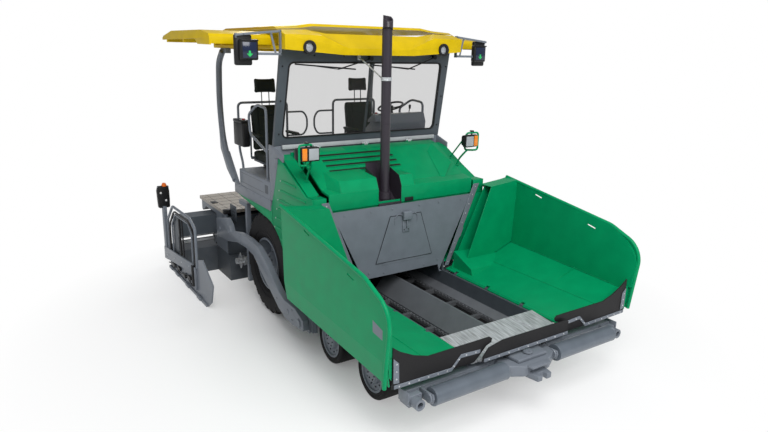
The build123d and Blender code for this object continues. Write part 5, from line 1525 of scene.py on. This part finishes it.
def gate_markers():
    """Black marker heads on the end gates with their white dots and orange cones."""
    body = "extension_{side}"
    shell = plate("gate_marker_left", [(1.815, 1.305), (1.965, 1.305), (1.985, 1.235),
                                       (1.98, 1.09), (1.974, 0.965), (1.955, 0.952),
                                       (1.815, 0.952), (1.798, 0.965), (1.794, 1.09),
                                       (1.795, 1.235)], "y", 2.578, 2.652, 0.016, 3)
    pair(shell, "lamp_housing", body)
    dots = heads("gate_dots_left", [(1.855, 2.579, 1.075), (1.93, 2.579, 1.2)], (0, -1, 0),
                 0.018, 0.006, 20)
    pair(dots, "white_dot", body)
    cone = turned("gate_cone_left", [(-0.004, 0.004), (-0.004, 0.04), (0.012, 0.04),
                                     (0.045, 0.026), (0.052, 0.004)], (1.865, 2.612, 1.303),
                  "z", 28)
    pair(cone, "orange_cone", body)


def guide_tubes():
    """Bright sleeves of the guide tubes and the screed's pale end plates."""
    sleeves = [turned("guide_tubes_left", [(1.288, 0.0315), (1.288, 0.0322), (1.868, 0.0322),
                                           (1.868, 0.0315)], (0, 2.06, z), "x", 40)
               for z in (0.505, 0.6)]
    pair(joined("guide_tubes_left", sleeves), "chrome_rod", "extension_{side}")
    face = plate("screed_end_left", [(1.424, 0.42), (1.424, 1.026), (2.596, 1.026),
                                     (2.596, 0.865), (2.48, 0.888), (2.4, 0.948),
                                     (1.882, 0.948), (1.882, 0.622), (2.01, 0.622),
                                     (2.01, 0.42)], "x", 1.2752, 1.282, 0.002, 1)
    rib = tube("rib", [(1.282, 1.432, 0.43), (1.282, 1.432, 0.97), (1.282, 1.5, 1.018),
                       (1.282, 2.58, 1.018)], 0.009, 0.05)
    pair(joined("screed_end_left", [face, rib]), "grey_paint", "screed")
    # black discs over the end plate's holes: painted shade inside the holes
    holes = [(1.2825, 1.846, z) for z in (0.7, 0.77, 0.84)]
    holes += [(1.2825, 1.95, z) for z in (0.45, 0.56)]
    pair(heads("screed_end_holes_left", holes, (1, 0, 0), 0.019, 0.003, 20), "black_seal",
         "screed")
    guard = plate("screed_guard_left", [(1.2, 0.96), (1.2, 1.19), (1.455, 1.19),
                                        (1.455, 1.03), (1.36, 0.96)], "x", 1.196, 1.204,
                  0.003, 2)
    pair(guard, "dark_paint", "screed")
    # black discs over the guard's holes: painted shade inside the holes
    dots = [(1.2045, y, z) for y in (1.27, 1.33) for z in (1.04, 1.09, 1.14)]
    pair(heads("screed_guard_holes_left", dots, (1, 0, 0), 0.014, 0.003, 16), "black_seal",
         "screed")


def walkway_lines():
    """Joints of the walkway's planks and its black end clips."""
    low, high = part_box("screed_walkway")
    front, rear = low.y - AXLE_Y, high.y - AXLE_Y
    z = high.z
    lines = [block("line", (-1.296, front + (rear - front) * i / 6 - 0.004, z - 0.002),
                   (1.296, front + (rear - front) * i / 6 + 0.004, z + 0.0016), 0.0005, 1)
             for i in range(1, 6)]
    lines += [block("line", (-1.2 + 0.2 * i - 0.003, front + 0.004, z - 0.002),
                    (-1.2 + 0.2 * i + 0.003, rear - 0.004, z + 0.0012), 0.0005, 1)
              for i in range(13)]
    dressed(joined("walkway_lines", lines), "black_seal", "screed")
    clips = [block("walkway_clips_left", (1.215, 1.98, z - 0.004), (1.302, 2.1, z + 0.014),
                   0.005),
             block("clip", (1.16, front - 0.02, z - 0.05), (1.302, front + 0.06, z + 0.016),
                   0.006)]
    pair(joined("walkway_clips_left", clips), "lamp_housing", "screed")


def side_boxes():
    """Dark control boxes hung on the rails behind the seats."""
    box = block("side_box_left", (1.045, 0.93, 2.1), (1.155, 1.3, 2.44), 0.022, 3)
    lid = block("lid", (1.035, 0.95, 2.43), (1.165, 1.28, 2.475), 0.014, 3)
    pair(joined("side_box_left", [box, lid]), "lamp_housing")
    cap = turned("side_box_cap_left", [(0.0, 0.004), (0.0, 0.022), (0.02, 0.018),
                                       (0.02, 0.004)], (1.1, 1.02, 2.474), "z", 20)
    pair(cap, "red_cap")


# ------------------------------------------------------------------ stage
def camera():
    """The camera at its place in front of the machine's right side."""
    data = bpy.data.cameras.new("camera")
    data.lens = 28.75
    data.sensor_width = 36.0
    data.clip_end = 200
    obj = bpy.data.objects.new("camera", data)
    bpy.context.scene.collection.objects.link(obj)
    yaw, pitch, roll = radians(33.58), radians(15.14), radians(1.11)
    ahead = Vector((sin(yaw) * cos(pitch), cos(yaw) * cos(pitch), -sin(pitch)))
    flat = Vector((cos(yaw), -sin(yaw), 0))
    up = flat.cross(ahead)
    across = cos(roll) * flat + sin(roll) * up
    up = across.cross(ahead)
    turn = Matrix((across, up, -ahead)).transposed().to_4x4()
    obj.matrix_world = Matrix.Translation((-4.208, AXLE_Y - 7.255, 3.452)) @ turn
    bpy.context.scene.camera = obj


def area_lamp(name, place, aim, size, power):
    """A soft lamp that shines from place to aim."""
    data = bpy.data.lights.new(name, "AREA")
    data.shape = "RECTANGLE"
    data.size, data.size_y = size
    data.energy = power
    obj = bpy.data.objects.new(name, data)
    bpy.context.scene.collection.objects.link(obj)
    obj.location = place
    obj.rotation_euler = (Vector(aim) - Vector(place)).to_track_quat("-Z", "Y").to_euler()
    return obj


def seen_straight(tree, *rays):
    """1 for the kinds of ray that are named, such as Is Camera Ray."""
    path = shader_node(tree, "LightPath").outputs
    seen = path[rays[0]]
    for ray in rays[1:]:
        seen = shader_node(tree, "Math", {0: seen, 1: path[ray]},
                           operation="MAXIMUM").outputs[0]
    return seen


def stage_floor():
    """Pale round floor that fades into the white background."""
    bpy.ops.object.select_all(action="DESELECT")
    bpy.ops.mesh.primitive_circle_add(vertices=96, radius=FLOOR_RADIUS, fill_type="NGON")
    floor = bpy.context.object
    floor.name = "floor"
    material, tree, shader = new_material("floor_paper", Base_Color=(0.95, 0.95, 0.95, 1),
                                          Roughness=0.55, Specular_IOR_Level=0.25)
    white = shader_node(tree, "Emission", {"Color": (1, 1, 1, 1)})
    far = shader_node(tree, "VectorMath", {0: object_place(tree)}, operation="LENGTH")
    fade = shader_node(tree, "MapRange", {"Value": far.outputs["Value"], "From Min": FLOOR_FADE[0],
                                          "From Max": FLOOR_FADE[1]})
    seen = seen_straight(tree, "Is Camera Ray", "Is Glossy Ray", "Is Transmission Ray")
    share = shader_node(tree, "Math", {0: fade.outputs[0], 1: seen}, operation="MULTIPLY")
    mix = shader_node(tree, "MixShader", {"Fac": share.outputs[0], 1: shader.outputs[0],
                                          2: white.outputs[0]})
    tree.links.new(mix.outputs[0], tree.nodes["Material Output"].inputs["Surface"])
    floor.data.materials.append(material)
    floor.location.z = -FLOOR_DROP


def studio_world():
    """White to the camera, a soft even light to everything else."""
    world = bpy.data.worlds.new("studio")
    bpy.context.scene.world = world
    world.use_nodes = True
    tree = world.node_tree
    soft = tree.nodes["Background"]
    soft.inputs["Color"].default_value = (0.93, 0.96, 1.0, 1)
    soft.inputs["Strength"].default_value = 0.42
    white = shader_node(tree, "Background", {"Color": (1, 1, 1, 1)})
    mix = shader_node(tree, "MixShader", {
        "Fac": seen_straight(tree, "Is Camera Ray", "Is Transmission Ray"),
        1: soft.outputs[0], 2: white.outputs[0]})
    tree.links.new(mix.outputs[0], tree.nodes["World Output"].inputs["Surface"])


class PAVER_OT_stage(bpy.types.Operator):
    """Floor, soft lamps, world and camera"""
    bl_idname = "paver.stage"
    bl_label = "Stage"

    def execute(self, context):
        camera()
        stage_floor()
        studio_world()
        area_lamp("key", (-3.2, -6.8, 9.2), (0, -0.5, 1.0), (5, 5), 680)
        area_lamp("front", (0.2, -9.6, 6.8), (0, -1.5, 1.0), (4, 3), 260)
        area_lamp("side", (-9.0, 1.0, 4.0), (0, 0.5, 1.2), (4, 4), 30)
        area_lamp("back", (4.0, 8.0, 6.0), (0, 1.0, 1.0), (5, 4), 260)
        context.scene.view_settings.view_transform = "Standard"
        return {"FINISHED"}


class PAVER_OT_frame_finishes(bpy.types.Operator):
    """Finishes of the solids of the frame"""
    bl_idname = "paver.frame_finishes"
    bl_label = "Finishes of the solids"

    def execute(self, context):
        dress_frame()
        return {"FINISHED"}


class PAVER_OT_wheels(bpy.types.Operator):
    """Tyres with their tread, nuts and hub screws"""
    bl_idname = "paver.wheels"
    bl_label = "Wheels"

    def execute(self, context):
        rear_tyres()
        front_tyres()
        wheel_bolts()
        return {"FINISHED"}


class PAVER_OT_seats(bpy.types.Operator):
    """Padded operator seats on their bellows"""
    bl_idname = "paver.seats"
    bl_label = "Seats"

    def execute(self, context):
        seats()
        return {"FINISHED"}


class PAVER_OT_soft_panels(bpy.types.Operator):
    """Roof and flaps with rounded edges"""
    bl_idname = "paver.soft_panels"
    bl_label = "Roof panels"

    def execute(self, context):
        soft_panels()
        return {"FINISHED"}


class PAVER_OT_hood(bpy.types.Operator):
    """Hood lid, louvre strips, clips and the trough behind the pipe"""
    bl_idname = "paver.hood"
    bl_label = "Hood"

    def execute(self, context):
        hood_skin()
        hood_louvres()
        hood_hinges()
        hood_front()
        return {"FINISHED"}


class PAVER_OT_windshield(bpy.types.Operator):
    """Gasket, middle post, wipers and bolts of the windshield"""
    bl_idname = "paver.windshield"
    bl_label = "Windshield"

    def execute(self, context):
        windshield_gasket()
        wipers()
        screen_bolts()
        return {"FINISHED"}


class PAVER_OT_exhaust_stay(bpy.types.Operator):
    """Clamp, stay and seams of the exhaust pipe"""
    bl_idname = "paver.exhaust_stay"
    bl_label = "Exhaust stay"

    def execute(self, context):
        exhaust_stay()
        return {"FINISHED"}


class PAVER_OT_roof_fittings(bpy.types.Operator):
    """Round lamps and drip edges of the roof"""
    bl_idname = "paver.roof_fittings"
    bl_label = "Roof lamps and edges"

    def execute(self, context):
        roof_lamps()
        roof_seams()
        return {"FINISHED"}


class PAVER_OT_display_units(bpy.types.Operator):
    """Feed displays on their arms"""
    bl_idname = "paver.display_units"
    bl_label = "Displays"

    def execute(self, context):
        display_units()
        return {"FINISHED"}


class PAVER_OT_work_lamp_units(bpy.types.Operator):
    """Work lamps in their guard loops"""
    bl_idname = "paver.work_lamp_units"
    bl_label = "Work lamps"

    def execute(self, context):
        work_lamp_units()
        return {"FINISHED"}


class PAVER_OT_chute(bpy.types.Operator):
    """Hatch, latch and bolted sealing strips of the chute plate"""
    bl_idname = "paver.chute"
    bl_label = "Chute"

    def execute(self, context):
        chute_hatch()
        chute_strips()
        return {"FINISHED"}


class PAVER_OT_hopper_floor(bpy.types.Operator):
    """Conveyor chains, and the sill with its facets"""
    bl_idname = "paver.hopper_floor"
    bl_label = "Hopper floor"

    def execute(self, context):
        trough_details()
        sill_details()
        return {"FINISHED"}


class PAVER_OT_wings(bpy.types.Operator):
    """Webs, back walls, seams and stripes of the hopper wings"""
    bl_idname = "paver.wings"
    bl_label = "Hopper wings"

    def execute(self, context):
        wing_front_web()
        wing_back_wall()
        wing_details()
        return {"FINISHED"}


class PAVER_OT_apron_bars(bpy.types.Operator):
    """Clamping bars of the rubber aprons"""
    bl_idname = "paver.apron_bars"
    bl_label = "Apron bars"

    def execute(self, context):
        apron_bars()
        return {"FINISHED"}


class PAVER_OT_crossbar_details(bpy.types.Operator):
    """Bolts and caps of the crossbar"""
    bl_idname = "paver.crossbar_details"
    bl_label = "Crossbar details"

    def execute(self, context):
        crossbar_details()
        return {"FINISHED"}


class PAVER_OT_side_covers(bpy.types.Operator):
    """Side covers, and bands over the rear wheels"""
    bl_idname = "paver.side_covers"
    bl_label = "Side covers"

    def execute(self, context):
        side_cover_skins()
        mudguard_skins()
        return {"FINISHED"}


class PAVER_OT_platform_units(bpy.types.Operator):
    """Operator platform with its boxes and panels"""
    bl_idname = "paver.platform_units"
    bl_label = "Platform"

    def execute(self, context):
        platform_units()
        return {"FINISHED"}


class PAVER_OT_console_unit(bpy.types.Operator):
    """Operator console and steering wheel"""
    bl_idname = "paver.console_unit"
    bl_label = "Console"

    def execute(self, context):
        console_unit()
        return {"FINISHED"}


class PAVER_OT_rail_units(bpy.types.Operator):
    """Tubular handrails of the platform"""
    bl_idname = "paver.rail_units"
    bl_label = "Handrails"

    def execute(self, context):
        rail_units()
        return {"FINISHED"}


class PAVER_OT_post_units(bpy.types.Operator):
    """Rear posts of the roof"""
    bl_idname = "paver.post_units"
    bl_label = "Rear posts"

    def execute(self, context):
        post_units()
        return {"FINISHED"}


class PAVER_OT_arm_units(bpy.types.Operator):
    """Tow arms with pins and bolts"""
    bl_idname = "paver.arm_units"
    bl_label = "Tow arms"

    def execute(self, context):
        arm_units()
        return {"FINISHED"}


class PAVER_OT_crossbar(bpy.types.Operator):
    """Crossbar with hook, brackets and eyes"""
    bl_idname = "paver.crossbar"
    bl_label = "Crossbar"

    def execute(self, context):
        crossbar_skin()
        return {"FINISHED"}


class PAVER_OT_end_gates(bpy.types.Operator):
    """End gates with their rods, links and markers"""
    bl_idname = "paver.end_gates"
    bl_label = "End gates"

    def execute(self, context):
        gate_details()
        gate_markers()
        return {"FINISHED"}


class PAVER_OT_screed_fittings(bpy.types.Operator):
    """Guide tubes, end plates and walkway joints"""
    bl_idname = "paver.screed_fittings"
    bl_label = "Screed fittings"

    def execute(self, context):
        guide_tubes()
        walkway_lines()
        return {"FINISHED"}


class PAVER_OT_side_boxes(bpy.types.Operator):
    """Control boxes on the rails behind the seats"""
    bl_idname = "paver.side_boxes"
    bl_label = "Side boxes"

    def execute(self, context):
        side_boxes()
        return {"FINISHED"}


OPERATORS = (PAVER_OT_stage, PAVER_OT_frame_finishes, PAVER_OT_wheels, PAVER_OT_seats,
             PAVER_OT_soft_panels, PAVER_OT_hood, PAVER_OT_windshield, PAVER_OT_exhaust_stay,
             PAVER_OT_roof_fittings, PAVER_OT_display_units, PAVER_OT_work_lamp_units,
             PAVER_OT_chute, PAVER_OT_hopper_floor, PAVER_OT_wings, PAVER_OT_apron_bars,
             PAVER_OT_crossbar_details, PAVER_OT_side_covers, PAVER_OT_platform_units,
             PAVER_OT_console_unit, PAVER_OT_rail_units, PAVER_OT_post_units, PAVER_OT_arm_units,
             PAVER_OT_crossbar, PAVER_OT_end_gates, PAVER_OT_screed_fittings, PAVER_OT_side_boxes)


class PAVER_PT_panel(bpy.types.Panel):
    """Lists the pieces of the paver"""
    bl_idname = "PAVER_PT_panel"
    bl_label = "Asphalt paver"
    bl_space_type = "VIEW_3D"
    bl_region_type = "UI"
    bl_category = "Paver"

    def draw(self, context):
        for settings in (context.scene.paver_colours, context.scene.paver_sizes):
            for name in settings.__annotations__:
                self.layout.prop(settings, name)
        for operator in OPERATORS:
            self.layout.operator(operator.bl_idname)


CLASSES = (PaverColours, PaverSizes, *OPERATORS, PAVER_PT_panel)


def register():
    for cls in CLASSES:
        bpy.utils.register_class(cls)
    bpy.types.Scene.paver_colours = bpy.props.PointerProperty(
        type=PaverColours, name="Colours", description="Colours of the machine")
    bpy.types.Scene.paver_sizes = bpy.props.PointerProperty(
        type=PaverSizes, name="Sizes", description="Sizes of the detail pieces")


def unregister():
    del bpy.types.Scene.paver_sizes
    del bpy.types.Scene.paver_colours
    for cls in reversed(CLASSES):
        bpy.utils.unregister_class(cls)


def main():
    register()
    for operator in OPERATORS:
        group, name = operator.bl_idname.split(".")
        getattr(getattr(bpy.ops, group), name)()


if __name__ == "__main__":
    main()
